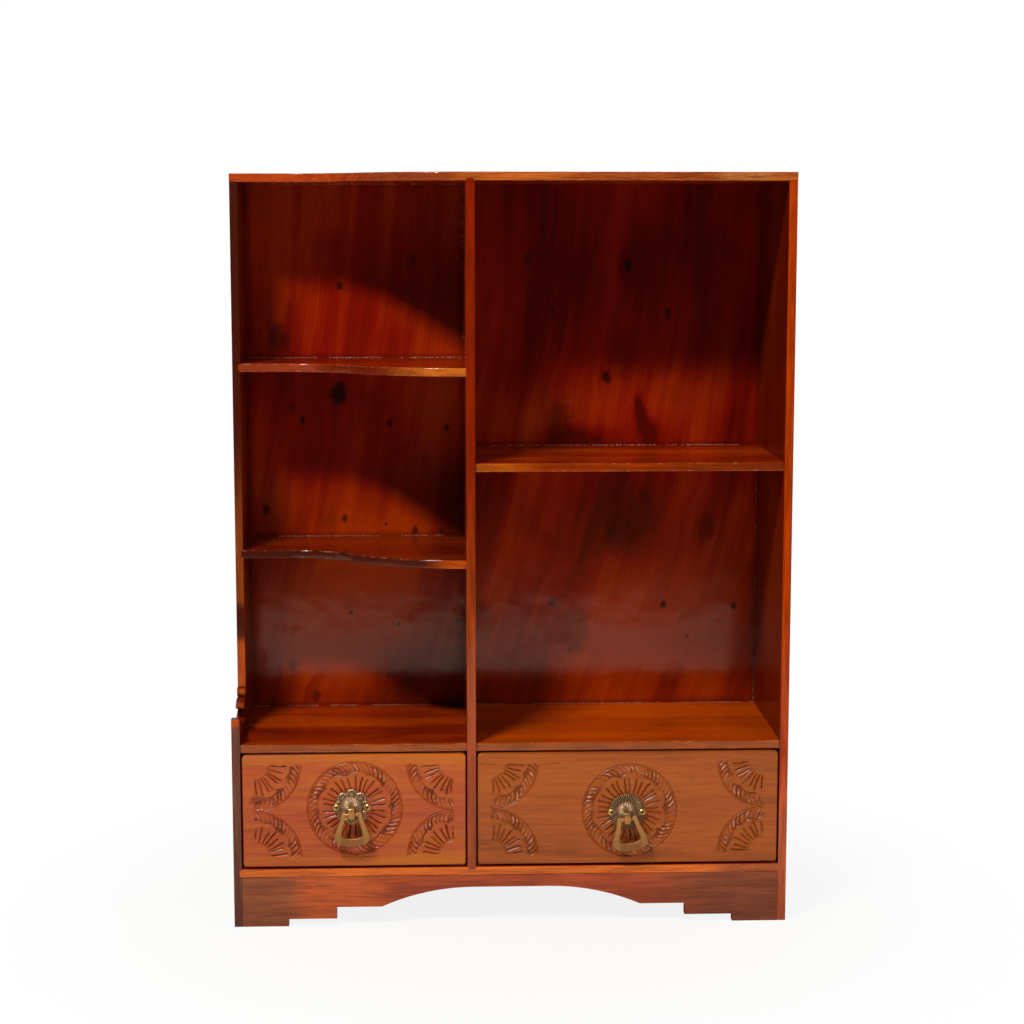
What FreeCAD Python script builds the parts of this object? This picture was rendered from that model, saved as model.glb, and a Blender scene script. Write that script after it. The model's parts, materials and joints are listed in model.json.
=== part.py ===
import FreeCAD, Part
import math
import os

# Wall shelf with two drawers, in millimetres.
# X runs to the right, Y to the wall, Z up from the floor.

# Case boards
CASE_WIDTH = 460.0
CASE_HEIGHT = 620.0
BAY_DEPTH = 146.0
BOARD = 7.0
DIVIDER_BOARD = 7.5
BACK_BOARD = 7.0
BACK_REBATE = 4.0
HOUSING = 2.0
SHELF_SETBACK = 2.4
DIVIDER_X = -32.75
EDGE_EASE = 0.8

# Clear heights, from the floor up
PLINTH_HEIGHT = 42.0
DRAWER_OPENING = 98.0
LOWER_LEFT_BAY = 145.5
MIDDLE_LEFT_BAY = 150.0
LOWER_RIGHT_BAY = 225.0

# Serpentine front of the top and of the left shelves
LEFT_SETBACK = 65.0
CURVE_START = 38.0
CURVE_TURN = 0.37

# Scroll where the left side steps back above the deck
SHOULDER_RISE = 22.0
LIP_DEPTH = 8.0
SCOOP_DEPTH = 10.0
BEAK_REACH = 23.0
BEAK_HEIGHT = 10.0
BEAD_RADIUS = 3.4
BEAD_GAP = 1.6
QUIRK = 4.0

# Apron with stepped feet and an arch
APRON_BOARD = 7.0
FOOT_WIDTH = 38.0
FOOT_STEP_WIDTH = 40.0
ARCH_STEP_WIDTH = 37.5
FOOT_STEP = 6.2
ARCH_STEP = 16.0
ARCH_CROWN = 32.0
CROWN_WIDTH = 64.0

# Drawer boxes
DRAWER_FRONT = 9.0
FRONT_LAP = 4.0
FRONT_CORNER = 3.0
FRONT_EASE = 1.2
FRONT_TOP_GAP = 1.5
FRONT_FOOT_GAP = 2.0
DRAWER_SIDE = 6.0
SIDE_CLEARANCE = 1.2
RUN_CLEARANCE = 0.2
SIDE_TOP_DROP = 12.0
DRAWER_BACK = 6.0
BACK_CLEARANCE = 1.0
DRAWER_FLOOR = 3.0
FLOOR_LIFT = 5.0
FLOOR_GROOVE = 3.0

# Drop pulls
LEFT_PULL_SHIFT = (-2.0, 3.5)
RIGHT_PULL_SHIFT = (-1.2, -3.0)
LEFT_BAIL_LEAN = 1.0
RIGHT_BAIL_LEAN = 8.0
ROSETTE_RADIUS = 15.2
ROSETTE_PLATE = 1.2
LOBE_COUNT = 8
LOBE_RADIUS = 5.0
SKIRT_RADIUS = 9.6
SKIRT_RISE = 1.0
DOME_RADIUS = 7.0
DOME_HEIGHT = 4.4
POST_RADIUS = 2.0
POST_CLEARANCE = 0.1
POST_SPARE = 1.5
NUT_FLATS = 7.0
NUT_THICKNESS = 3.2
HOOK_WIDTH = 5.0
HOOK_STRAP = 1.5
HOOK_ROUND = 0.7
LIP_GAP = 1.0
BAR_RADIUS = 1.6
BAR_PLAY = 0.5
BAR_DROP = 4.6
BAIL_STANDOFF = 8.4
BAIL_THICKNESS = 2.6
BAIL_TOP_WIDTH = 16.4
BAIL_FOOT_WIDTH = 30.0
BAIL_LEG = 3.8
BAIL_LEG_TOP = 2.6
BAIL_DROP = 27.0
GRIP_HEIGHT = 8.0
GRIP_CORNER = 7.0
GRIP_BOW = 1.2

# Fasteners
PULL_SCREW_SPACING = 25.6
PULL_SCREW_RADIUS = 1.2
PULL_SCREW_LENGTH = 6.5
PULL_SCREW_HEAD = 2.9
PULL_SCREW_HEAD_RISE = 1.9
PULL_SCREW_RECESS = 0.9
NAIL_RADIUS = 0.7
NAIL_LENGTH = 22.0
NAIL_HEAD = 1.6
NAIL_HEAD_RISE = 1.0
PIN_RADIUS = 0.6
PIN_LENGTH = 15.0
PIN_HEAD = 1.1
PIN_HEAD_RISE = 0.8
FASTENER_CLEARANCE = 0.05
TOP_NAIL_INSET = 15.0
PIN_INSET = 14.0

# Keyhole plates for hanging it on a wall
HANGER_SPACING = 300.0
HANGER_DROP = 62.0
HANGER_WIDTH = 16.0
HANGER_HEIGHT = 48.0
HANGER_PLATE = 1.6
HANGER_CORNER = 3.0
KEYHOLE_RADIUS = 4.5
KEYHOLE_SLOT = 2.3
KEYHOLE_RISE = 10.0
HEAD_POCKET_DEPTH = 3.6
HEAD_POCKET_MARGIN = 1.0
HANGER_SCREW_SPACING = 36.0
HANGER_SCREW_RADIUS = 1.3
HANGER_SCREW_HEAD = 2.6
HANGER_SCREW_LENGTH = 5.0

# Planes and levels worked out from the sizes above
PULL_REACH = BAIL_STANDOFF + BAR_RADIUS + BAR_PLAY + HOOK_STRAP
CASE_DEPTH = BAY_DEPTH + BACK_BOARD
FRONT_Y = (PULL_REACH - CASE_DEPTH) / 2
WALL_Y = FRONT_Y + CASE_DEPTH
BAY_BACK_Y = FRONT_Y + BAY_DEPTH
SHELF_Y = FRONT_Y + SHELF_SETBACK
RIGHT_X = CASE_WIDTH / 2
INNER_X = RIGHT_X - BOARD
DIVIDER_LEFT = DIVIDER_X - DIVIDER_BOARD / 2
DIVIDER_RIGHT = DIVIDER_X + DIVIDER_BOARD / 2
FLOOR_TOP = PLINTH_HEIGHT + BOARD
DECK_UNDER = FLOOR_TOP + DRAWER_OPENING
DECK_TOP = DECK_UNDER + BOARD
LOWER_LEFT_UNDER = DECK_TOP + LOWER_LEFT_BAY
LOWER_LEFT_TOP = LOWER_LEFT_UNDER + BOARD
UPPER_LEFT_UNDER = LOWER_LEFT_TOP + MIDDLE_LEFT_BAY
UPPER_LEFT_TOP = UPPER_LEFT_UNDER + BOARD
RIGHT_UNDER = DECK_TOP + LOWER_RIGHT_BAY
RIGHT_TOP = RIGHT_UNDER + BOARD
TOP_UNDER = CASE_HEIGHT - BOARD

V = FreeCAD.Vector


def box(x0, x1, y0, y1, z0, z1):
    """A block between two corners."""
    return Part.makeBox(x1 - x0, y1 - y0, z1 - z0, V(x0, y0, z0))


def rod(radius, start, end):
    """A round bar from one point to another."""
    run = end.sub(start)
    return Part.makeCylinder(radius, run.Length, start, run)


def outline(start, steps):
    """A closed wire. A step is (end,) for a straight run or (through, end) for an arc."""
    edges = []
    here = start
    for step in steps:
        if len(step) == 1:
            edges.append(Part.makeLine(here, step[0]))
        else:
            edges.append(Part.Arc(here, step[0], step[1]).toShape())
        here = step[-1]
    if here.distanceToPoint(start) > 1e-6:
        edges.append(Part.makeLine(here, start))
    return Part.Wire(edges)


def push(wire, run):
    """A flat outline pushed into a solid."""
    return Part.Face(wire).extrude(run)


def fused(first, others):
    """One clean solid out of touching or overlapping pieces."""
    return first.fuse(others).removeSplitter()


def middle(edge):
    """The point halfway along an edge."""
    return edge.valueAt((edge.FirstParameter + edge.LastParameter) / 2)


def ease_front(board, radius, axis, shortest=0.0):
    """Rounds the long front arrises of a board that lies across the given axis."""
    b = board.BoundBox
    faces = {"x": (b.XMin, b.XMax), "z": (b.ZMin, b.ZMax)}
    ends = {"x": (b.ZMin, b.ZMax), "z": (b.XMin, b.XMax)}
    across = {"x": lambda p: p.x, "z": lambda p: p.z}
    along = {"x": lambda p: p.z, "z": lambda p: p.x}
    picked = []
    for edge in board.Edges:
        p = middle(edge)
        on_face = min(abs(across[axis](p) - f) for f in faces[axis]) < 1e-6
        at_end = min(abs(along[axis](p) - e) for e in ends[axis]) < 1e-6
        if on_face and not at_end and p.y < b.YMax - 1e-6 and edge.Length > shortest:
            picked.append(edge)
    return board.makeFillet(radius, picked)


def serpentine(z, front_y):
    """The S-curve from the set-back left end to the front, as steps of an outline."""
    start = V(-INNER_X + CURVE_START, FRONT_Y + LEFT_SETBACK, z)
    end = V(DIVIDER_LEFT, front_y, z)
    run = end.x - start.x
    rise = start.y - end.y
    turn = 2 * math.atan2(rise, run)
    radii = (run ** 2 + rise ** 2) / (2 * rise)
    first = radii * CURVE_TURN
    second = radii - first
    joint = V(start.x + first * math.sin(turn), start.y - first * (1 - math.cos(turn)), z)
    half = turn / 2
    through_first = V(start.x + first * math.sin(half), start.y - first * (1 - math.cos(half)), z)
    through_second = V(end.x - second * math.sin(half), end.y + second * (1 - math.cos(half)), z)
    return [(start,), (through_first, joint), (through_second, end)]


def make_top():
    """The top board, which lies over the sides and carries the back in a rebate."""
    left_front = V(-RIGHT_X, FRONT_Y + LEFT_SETBACK, TOP_UNDER)
    steps = serpentine(TOP_UNDER, FRONT_Y)
    steps += [(V(RIGHT_X, FRONT_Y, TOP_UNDER),), (V(RIGHT_X, WALL_Y, TOP_UNDER),)]
    steps += [(V(-RIGHT_X, WALL_Y, TOP_UNDER),)]
    return ease_front(push(outline(left_front, steps), V(0, 0, BOARD)), EDGE_EASE, "z")


def make_left_shelf(under):
    """A shelf of the left bays, housed in the side and the divider."""
    left = -INNER_X - HOUSING
    right = DIVIDER_LEFT + HOUSING
    left_front = V(left, FRONT_Y + LEFT_SETBACK, under)
    steps = serpentine(under, SHELF_Y)
    steps += [(V(right, SHELF_Y, under),), (V(right, BAY_BACK_Y, under),)]
    steps += [(V(left, BAY_BACK_Y, under),)]
    return ease_front(push(outline(left_front, steps), V(0, 0, BOARD)), EDGE_EASE, "z")


def make_straight_shelf(left, right, under):
    """A straight shelf or deck, housed at both ends."""
    blank = box(left - HOUSING, right + HOUSING, SHELF_Y, BAY_BACK_Y, under, under + BOARD)
    return ease_front(blank, EDGE_EASE, "z")


def make_floor():
    """The floor board that the drawers run on."""
    left = -INNER_X - HOUSING
    right = INNER_X + HOUSING
    blank = box(left, right, FRONT_Y, BAY_BACK_Y, PLINTH_HEIGHT, FLOOR_TOP)
    return ease_front(blank, EDGE_EASE, "z")


def make_right_side():
    """The straight side."""
    blank = box(INNER_X, RIGHT_X, FRONT_Y, WALL_Y, 0, TOP_UNDER)
    return ease_front(blank, EDGE_EASE, "x")


def make_left_side():
    """The side that steps back above the deck, through a lip, a scoop, a beak and a bead."""
    def at(y, z):
        return V(-RIGHT_X, FRONT_Y + y, z)

    shoulder = DECK_TOP + SHOULDER_RISE
    beak_back = LEFT_SETBACK - QUIRK
    beak_tip = LEFT_SETBACK - BEAK_REACH
    beak_top = shoulder + BEAK_HEIGHT / 2
    beak_foot = shoulder - BEAK_HEIGHT / 2
    bead_foot = beak_top + BEAD_GAP
    bead_top = bead_foot + 2 * BEAD_RADIUS
    steps = [
        (at(0, shoulder),),
        (at(LIP_DEPTH, shoulder),),
        (at((LIP_DEPTH + beak_back) / 2, shoulder - SCOOP_DEPTH), at(beak_back, beak_foot)),
        (at(beak_tip, shoulder),),
        (at((beak_tip + beak_back) / 2, beak_top), at(beak_back, beak_top)),
        (at(beak_back, bead_foot),),
        (at(beak_back - BEAD_RADIUS, bead_foot + BEAD_RADIUS), at(beak_back, bead_top)),
        (at(LEFT_SETBACK, bead_top),),
        (at(LEFT_SETBACK, TOP_UNDER),),
        (at(CASE_DEPTH, TOP_UNDER),),
        (at(CASE_DEPTH, 0),),
    ]
    blank = push(outline(at(0, 0), steps), V(BOARD, 0, 0))
    return ease_front(blank, EDGE_EASE, "x", shortest=SHOULDER_RISE + LEFT_SETBACK)


def make_divider():
    """The upright between the bays, housed in the floor board and the top."""
    low = FLOOR_TOP - HOUSING
    high = TOP_UNDER + HOUSING
    blank = box(DIVIDER_LEFT, DIVIDER_RIGHT, FRONT_Y, BAY_BACK_Y, low, high)
    return ease_front(blank, EDGE_EASE, "x")


def make_back():
    """The back panel, lapped into the sides and the top and flush with the wall plane."""
    half = INNER_X + BACK_REBATE
    return box(-half, half, BAY_BACK_Y, WALL_Y, PLINTH_HEIGHT, TOP_UNDER + BACK_REBATE)


def make_apron():
    """The board under the floor, cut into stepped feet and an arch."""
    def at(x, z):
        return V(x, FRONT_Y, z)

    foot = INNER_X - FOOT_WIDTH
    step = foot - FOOT_STEP_WIDTH
    arch = step - ARCH_STEP_WIDTH
    crown = CROWN_WIDTH / 2
    rise = ARCH_CROWN - ARCH_STEP
    run = arch - crown
    radius = (run ** 2 + rise ** 2) / (2 * rise)
    turn = math.asin(run / radius) / 2
    through_x = crown + radius * math.sin(turn)
    through_z = ARCH_CROWN - radius * (1 - math.cos(turn))
    steps = [
        (at(-foot, 0),),
        (at(-foot, FOOT_STEP),),
        (at(-step, FOOT_STEP),),
        (at(-step, ARCH_STEP),),
        (at(-arch, ARCH_STEP),),
        (at(-through_x, through_z), at(-crown, ARCH_CROWN)),
        (at(crown, ARCH_CROWN),),
        (at(through_x, through_z), at(arch, ARCH_STEP)),
        (at(step, ARCH_STEP),),
        (at(step, FOOT_STEP),),
        (at(foot, FOOT_STEP),),
        (at(foot, 0),),
        (at(INNER_X, 0),),
        (at(INNER_X, PLINTH_HEIGHT),),
        (at(-INNER_X, PLINTH_HEIGHT),),
    ]
    return push(outline(at(-INNER_X, 0), steps), V(0, APRON_BOARD, 0))


def nail(place, way, radius, length, head, rise):
    """A nail whose head is flush with the surface at place."""
    head_end = place + way * rise
    point = place + way * (length - 2 * radius)
    tip = Part.makeCone(radius, radius / 4, 2 * radius, point, way)
    return fused(rod(head, place, head_end), [rod(radius, head_end, point), tip])


def nail_hole(place, way, radius, length, head, rise):
    """The hole that a nail sits in."""
    seat = rod(head + FASTENER_CLEARANCE, place, place + way * rise)
    bore = rod(radius + FASTENER_CLEARANCE, place, place + way * length)
    return seat.fuse(bore)


def case_nail(place, way):
    sizes = (NAIL_RADIUS, NAIL_LENGTH, NAIL_HEAD, NAIL_HEAD_RISE)
    return nail(place, way, *sizes), nail_hole(place, way, *sizes)


def drawer_pin(place, way):
    sizes = (PIN_RADIUS, PIN_LENGTH, PIN_HEAD, PIN_HEAD_RISE)
    return nail(place, way, *sizes), nail_hole(place, way, *sizes)


def between(low, high, count):
    """Evenly spread places between two limits."""
    return [low + (high - low) * (i + 0.5) / count for i in range(count)]


def back_nail_places():
    """Where the back is nailed to the sides, the divider, the shelves, the floor and the top."""
    edge_x = INNER_X + BACK_REBATE / 2
    left_bays = [(FLOOR_TOP, DECK_UNDER), (DECK_TOP, LOWER_LEFT_UNDER)]
    left_bays += [(LOWER_LEFT_TOP, UPPER_LEFT_UNDER), (UPPER_LEFT_TOP, TOP_UNDER)]
    right_bays = [(FLOOR_TOP, DECK_UNDER), (DECK_TOP, RIGHT_UNDER), (RIGHT_TOP, TOP_UNDER)]
    places = [(-edge_x, z) for low, high in left_bays for z in between(low, high, 2)]
    places += [(edge_x, z) for low, high in right_bays for z in between(low, high, 2)]
    left_span = (-INNER_X, DIVIDER_LEFT)
    right_span = (DIVIDER_RIGHT, INNER_X)
    for under in (DECK_UNDER, LOWER_LEFT_UNDER, UPPER_LEFT_UNDER):
        places += [(x, under + BOARD / 2) for x in between(*left_span, 2)]
    for under in (DECK_UNDER, RIGHT_UNDER):
        places += [(x, under + BOARD / 2) for x in between(*right_span, 2)]
    places += [(x, PLINTH_HEIGHT + BOARD / 2) for x in between(-INNER_X, INNER_X, 4)]
    places += [(x, TOP_UNDER + BACK_REBATE / 2) for x in between(-INNER_X, INNER_X, 5)]
    return [V(x, WALL_Y, z) for x, z in places]


def top_nail_places():
    """Where the top is nailed down to the sides and the divider."""
    near = FRONT_Y + LEFT_SETBACK + TOP_NAIL_INSET
    far = BAY_BACK_Y - TOP_NAIL_INSET
    columns = (-RIGHT_X + BOARD / 2, DIVIDER_X, RIGHT_X - BOARD / 2)
    return [V(x, y, CASE_HEIGHT) for x in columns for y in (near, far)]


def make_hangers():
    """The keyhole plates, their screws and the recesses that they take in the back."""
    plates = []
    screws = []
    recesses = []
    entry_z = CASE_HEIGHT - HANGER_DROP
    inner_y = WALL_Y - HANGER_PLATE
    pocket_y = inner_y - HEAD_POCKET_DEPTH
    out = V(0, -1, 0)
    for x in (-HANGER_SPACING / 2, HANGER_SPACING / 2):
        low = entry_z - HANGER_HEIGHT / 2
        blank = box(x - HANGER_WIDTH / 2, x + HANGER_WIDTH / 2, inner_y, WALL_Y, low, low + HANGER_HEIGHT)
        corners = [e for e in blank.Edges if abs(e.Vertexes[0].Y - e.Vertexes[1].Y) > HANGER_PLATE / 2]
        blank = blank.makeFillet(HANGER_CORNER, corners)
        slot_top = entry_z + KEYHOLE_RISE
        entry = rod(KEYHOLE_RADIUS, V(x, inner_y, entry_z), V(x, WALL_Y, entry_z))
        slot = box(x - KEYHOLE_SLOT, x + KEYHOLE_SLOT, inner_y, WALL_Y, entry_z, slot_top)
        slot_end = rod(KEYHOLE_SLOT, V(x, inner_y, slot_top), V(x, WALL_Y, slot_top))
        reach = KEYHOLE_RADIUS + HEAD_POCKET_MARGIN
        pocket = box(x - reach, x + reach, pocket_y, inner_y, entry_z, slot_top)
        pocket_ends = [rod(reach, V(x, pocket_y, z), V(x, inner_y, z)) for z in (entry_z, slot_top)]
        recesses.append(fused(pocket, pocket_ends + [blank]))
        plate = blank.cut([entry, slot, slot_end])
        for z in (entry_z - HANGER_SCREW_SPACING / 2, entry_z + HANGER_SCREW_SPACING / 2):
            place = V(x, WALL_Y, z)
            neck = HANGER_SCREW_HEAD - HANGER_SCREW_RADIUS
            head = Part.makeCone(HANGER_SCREW_HEAD, HANGER_SCREW_RADIUS, neck, place, out)
            shank = rod(HANGER_SCREW_RADIUS, place + out * neck, place + out * HANGER_SCREW_LENGTH)
            screw = fused(head, [shank])
            plate = plate.cut(screw)
            recesses.append(screw)
            screws.append(screw)
        plates.append(plate)
    return plates, screws, recesses


def make_carcass():
    """Every fixed piece of the case, by name."""
    boards = {
        "top_panel": make_top(),
        "left_side": make_left_side(),
        "right_side": make_right_side(),
        "divider": make_divider(),
        "back_panel": make_back(),
        "floor_board": make_floor(),
        "front_apron": make_apron(),
        "upper_left_shelf": make_left_shelf(UPPER_LEFT_UNDER),
        "lower_left_shelf": make_left_shelf(LOWER_LEFT_UNDER),
        "right_shelf": make_straight_shelf(DIVIDER_RIGHT, INNER_X, RIGHT_UNDER),
        "left_deck": make_straight_shelf(-INNER_X, DIVIDER_LEFT, DECK_UNDER),
        "right_deck": make_straight_shelf(DIVIDER_RIGHT, INNER_X, DECK_UNDER),
    }
    left_ends = ["upper_left_shelf", "lower_left_shelf", "left_deck"]
    right_ends = ["right_shelf", "right_deck"]
    housed_in = {
        "left_side": left_ends + ["floor_board", "back_panel"],
        "right_side": right_ends + ["floor_board", "back_panel"],
        "divider": left_ends + right_ends,
        "floor_board": ["divider"],
        "top_panel": ["divider", "back_panel"],
    }
    solids = dict(boards)
    for board, guests in housed_in.items():
        solids[board] = boards[board].cut([boards[guest] for guest in guests])
    back_nails = [case_nail(place, V(0, -1, 0)) for place in back_nail_places()]
    top_nails = [case_nail(place, V(0, 0, -1)) for place in top_nail_places()]
    plates, screws, recesses = make_hangers()
    back_holes = [hole for _, hole in back_nails]
    top_holes = [hole for _, hole in top_nails]
    for board in solids:
        solids[board] = solids[board].cut(back_holes)
    for board in ("top_panel", "left_side", "right_side", "divider"):
        solids[board] = solids[board].cut(top_holes)
    solids["back_panel"] = solids["back_panel"].cut(recesses)
    solids["back_panel_nails"] = Part.Compound([solid for solid, _ in back_nails])
    solids["top_nails"] = Part.Compound([solid for solid, _ in top_nails])
    solids["hanger_plates"] = Part.Compound(plates)
    solids["hanger_screws"] = Part.Compound(screws)
    return solids


def rosette_blank(centre, lobed):
    """A pressed rosette: a flat plate, a skirt and a dome, turned about the Y axis."""
    def at(radius, out):
        return V(centre.x + radius, centre.y - out, centre.z)

    skirt = ROSETTE_PLATE + SKIRT_RISE
    crown = skirt + DOME_HEIGHT
    ball = (DOME_RADIUS ** 2 + DOME_HEIGHT ** 2) / (2 * DOME_HEIGHT)
    half = math.asin(DOME_RADIUS / ball) / 2
    shoulder = at(ball * math.sin(half), crown - ball * (1 - math.cos(half)))
    plate_radius = ROSETTE_RADIUS - LOBE_RADIUS / 2 if lobed else ROSETTE_RADIUS
    steps = [
        (at(plate_radius, 0),),
        (at(plate_radius, ROSETTE_PLATE),),
        (at(SKIRT_RADIUS, ROSETTE_PLATE),),
        (at(DOME_RADIUS, skirt),),
        (shoulder, at(0, crown)),
    ]
    profile = Part.Face(outline(at(0, 0), steps))
    body = profile.revolve(centre, V(0, 1, 0), 360)
    lobes = []
    for i in range(LOBE_COUNT if lobed else 0):
        angle = 2 * math.pi * i / LOBE_COUNT
        reach = ROSETTE_RADIUS - LOBE_RADIUS
        place = centre + V(reach * math.sin(angle), 0, reach * math.cos(angle))
        lobes.append(rod(LOBE_RADIUS, place, place + V(0, -ROSETTE_PLATE, 0)))
    return fused(body, lobes) if lobes else body


def make_hook(centre):
    """The post that carries the bail: a threaded shank and a strap bent round the bail's bar."""
    def block(out0, out1, z0, z1):
        half = HOOK_WIDTH / 2
        return box(centre.x - half, centre.x + half, centre.y - out1, centre.y - out0,
                   centre.z + z0, centre.z + z1)

    dome_top = ROSETTE_PLATE + SKIRT_RISE + DOME_HEIGHT
    inner = PULL_REACH - HOOK_STRAP
    hollow = -BAR_DROP - BAR_RADIUS - BAR_PLAY
    foot = hollow - HOOK_STRAP
    head = POST_RADIUS
    neck_foot = -BAR_DROP + BAR_RADIUS + BAR_PLAY
    ball = (DOME_RADIUS ** 2 + DOME_HEIGHT ** 2) / (2 * DOME_HEIGHT)
    dome_side = dome_top - ball + math.sqrt(ball ** 2 - min(hollow, -POST_RADIUS) ** 2)
    neck = block(dome_top, PULL_REACH, neck_foot, head)
    tongue = block(inner, PULL_REACH, foot, head)
    lip = block(dome_side + LIP_GAP, PULL_REACH, foot, hollow)
    strap = fused(neck, [tongue, lip])
    rounded = []
    for edge in strap.Edges:
        p = middle(edge)
        crosswise = abs(p.x - centre.x) < 1e-6
        if crosswise and abs(p.y - (centre.y - PULL_REACH)) < 1e-6:
            rounded.append(edge)
    strap = strap.makeFillet(HOOK_ROUND, rounded)
    inside = DRAWER_FRONT + NUT_THICKNESS + POST_SPARE
    shank_end = centre - V(0, dome_top + HOOK_STRAP, 0)
    shank = rod(POST_RADIUS, centre + V(0, inside, 0), shank_end)
    return fused(strap, [shank])


def make_nut(centre):
    """The hexagon nut on the shank, inside the drawer."""
    across = NUT_FLATS / math.sqrt(3)
    y = centre.y + DRAWER_FRONT
    corners = [V(centre.x + across * math.cos(math.radians(60 * i)), y,
                 centre.z + across * math.sin(math.radians(60 * i))) for i in range(6)]
    blank = push(outline(corners[0], [(corner,) for corner in corners[1:]]), V(0, NUT_THICKNESS, 0))
    return blank.cut(rod(POST_RADIUS, V(centre.x, y, centre.z), V(centre.x, y + NUT_THICKNESS, centre.z)))


def make_bail(centre, lean):
    """The drop bail: a bar in the hook, two spreading legs and a broad grip."""
    pivot = centre + V(0, -BAIL_STANDOFF, -BAR_DROP)

    def at(x, z):
        return V(pivot.x + x, pivot.y - BAIL_THICKNESS / 2, pivot.z + z)

    top = BAIL_TOP_WIDTH / 2
    foot = BAIL_FOOT_WIDTH / 2
    inner_foot = foot - 1.7 * BAIL_LEG
    shoulder = -BAIL_DROP + GRIP_HEIGHT
    corner = GRIP_CORNER * (1 - math.sqrt(0.5))
    grip_edge = -BAIL_DROP + GRIP_BOW
    steps = [
        (at(-foot, shoulder),),
        (at(-foot + corner, grip_edge + corner), at(-foot + GRIP_CORNER, grip_edge)),
        (at(0, -BAIL_DROP), at(foot - GRIP_CORNER, grip_edge)),
        (at(foot - corner, grip_edge + corner), at(foot, shoulder)),
        (at(top, BAIL_LEG_TOP),),
        (at(top - BAIL_LEG, BAIL_LEG_TOP),),
        (at(inner_foot, shoulder + GRIP_BOW),),
        (at(0, shoulder - GRIP_BOW), at(-inner_foot, shoulder + GRIP_BOW)),
        (at(-top + BAIL_LEG, BAIL_LEG_TOP),),
    ]
    strap = push(outline(at(-top, BAIL_LEG_TOP), steps), V(0, BAIL_THICKNESS, 0))
    half_bar = top - BAIL_LEG / 2
    bar = rod(BAR_RADIUS, pivot - V(half_bar, 0, 0), pivot + V(half_bar, 0, 0))
    bail = fused(strap, [bar])
    bail.rotate(pivot, V(0, 1, 0), -lean)
    return bail


def make_pull_screws(centre):
    """The two round-headed screws of a rosette, and the holes that they take."""
    screws = []
    holes = []
    for x in (-PULL_SCREW_SPACING / 2, PULL_SCREW_SPACING / 2):
        seat = centre + V(x, -ROSETTE_PLATE, 0)
        crown = seat + V(0, -PULL_SCREW_HEAD_RISE, 0)
        tip = seat + V(0, PULL_SCREW_LENGTH, 0)
        ball = (PULL_SCREW_HEAD ** 2 + PULL_SCREW_HEAD_RISE ** 2) / (2 * PULL_SCREW_HEAD_RISE)
        sphere = Part.makeSphere(ball, crown + V(0, ball, 0))
        head = sphere.common(rod(PULL_SCREW_HEAD, seat, crown))
        recess = rod(PULL_SCREW_RECESS, crown + V(0, PULL_SCREW_RECESS, 0), crown)
        screws.append(fused(head, [rod(PULL_SCREW_RADIUS, seat, tip)]).cut(recess))
        holes.append(rod(PULL_SCREW_RADIUS + FASTENER_CLEARANCE, seat, tip))
    return screws, holes


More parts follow.
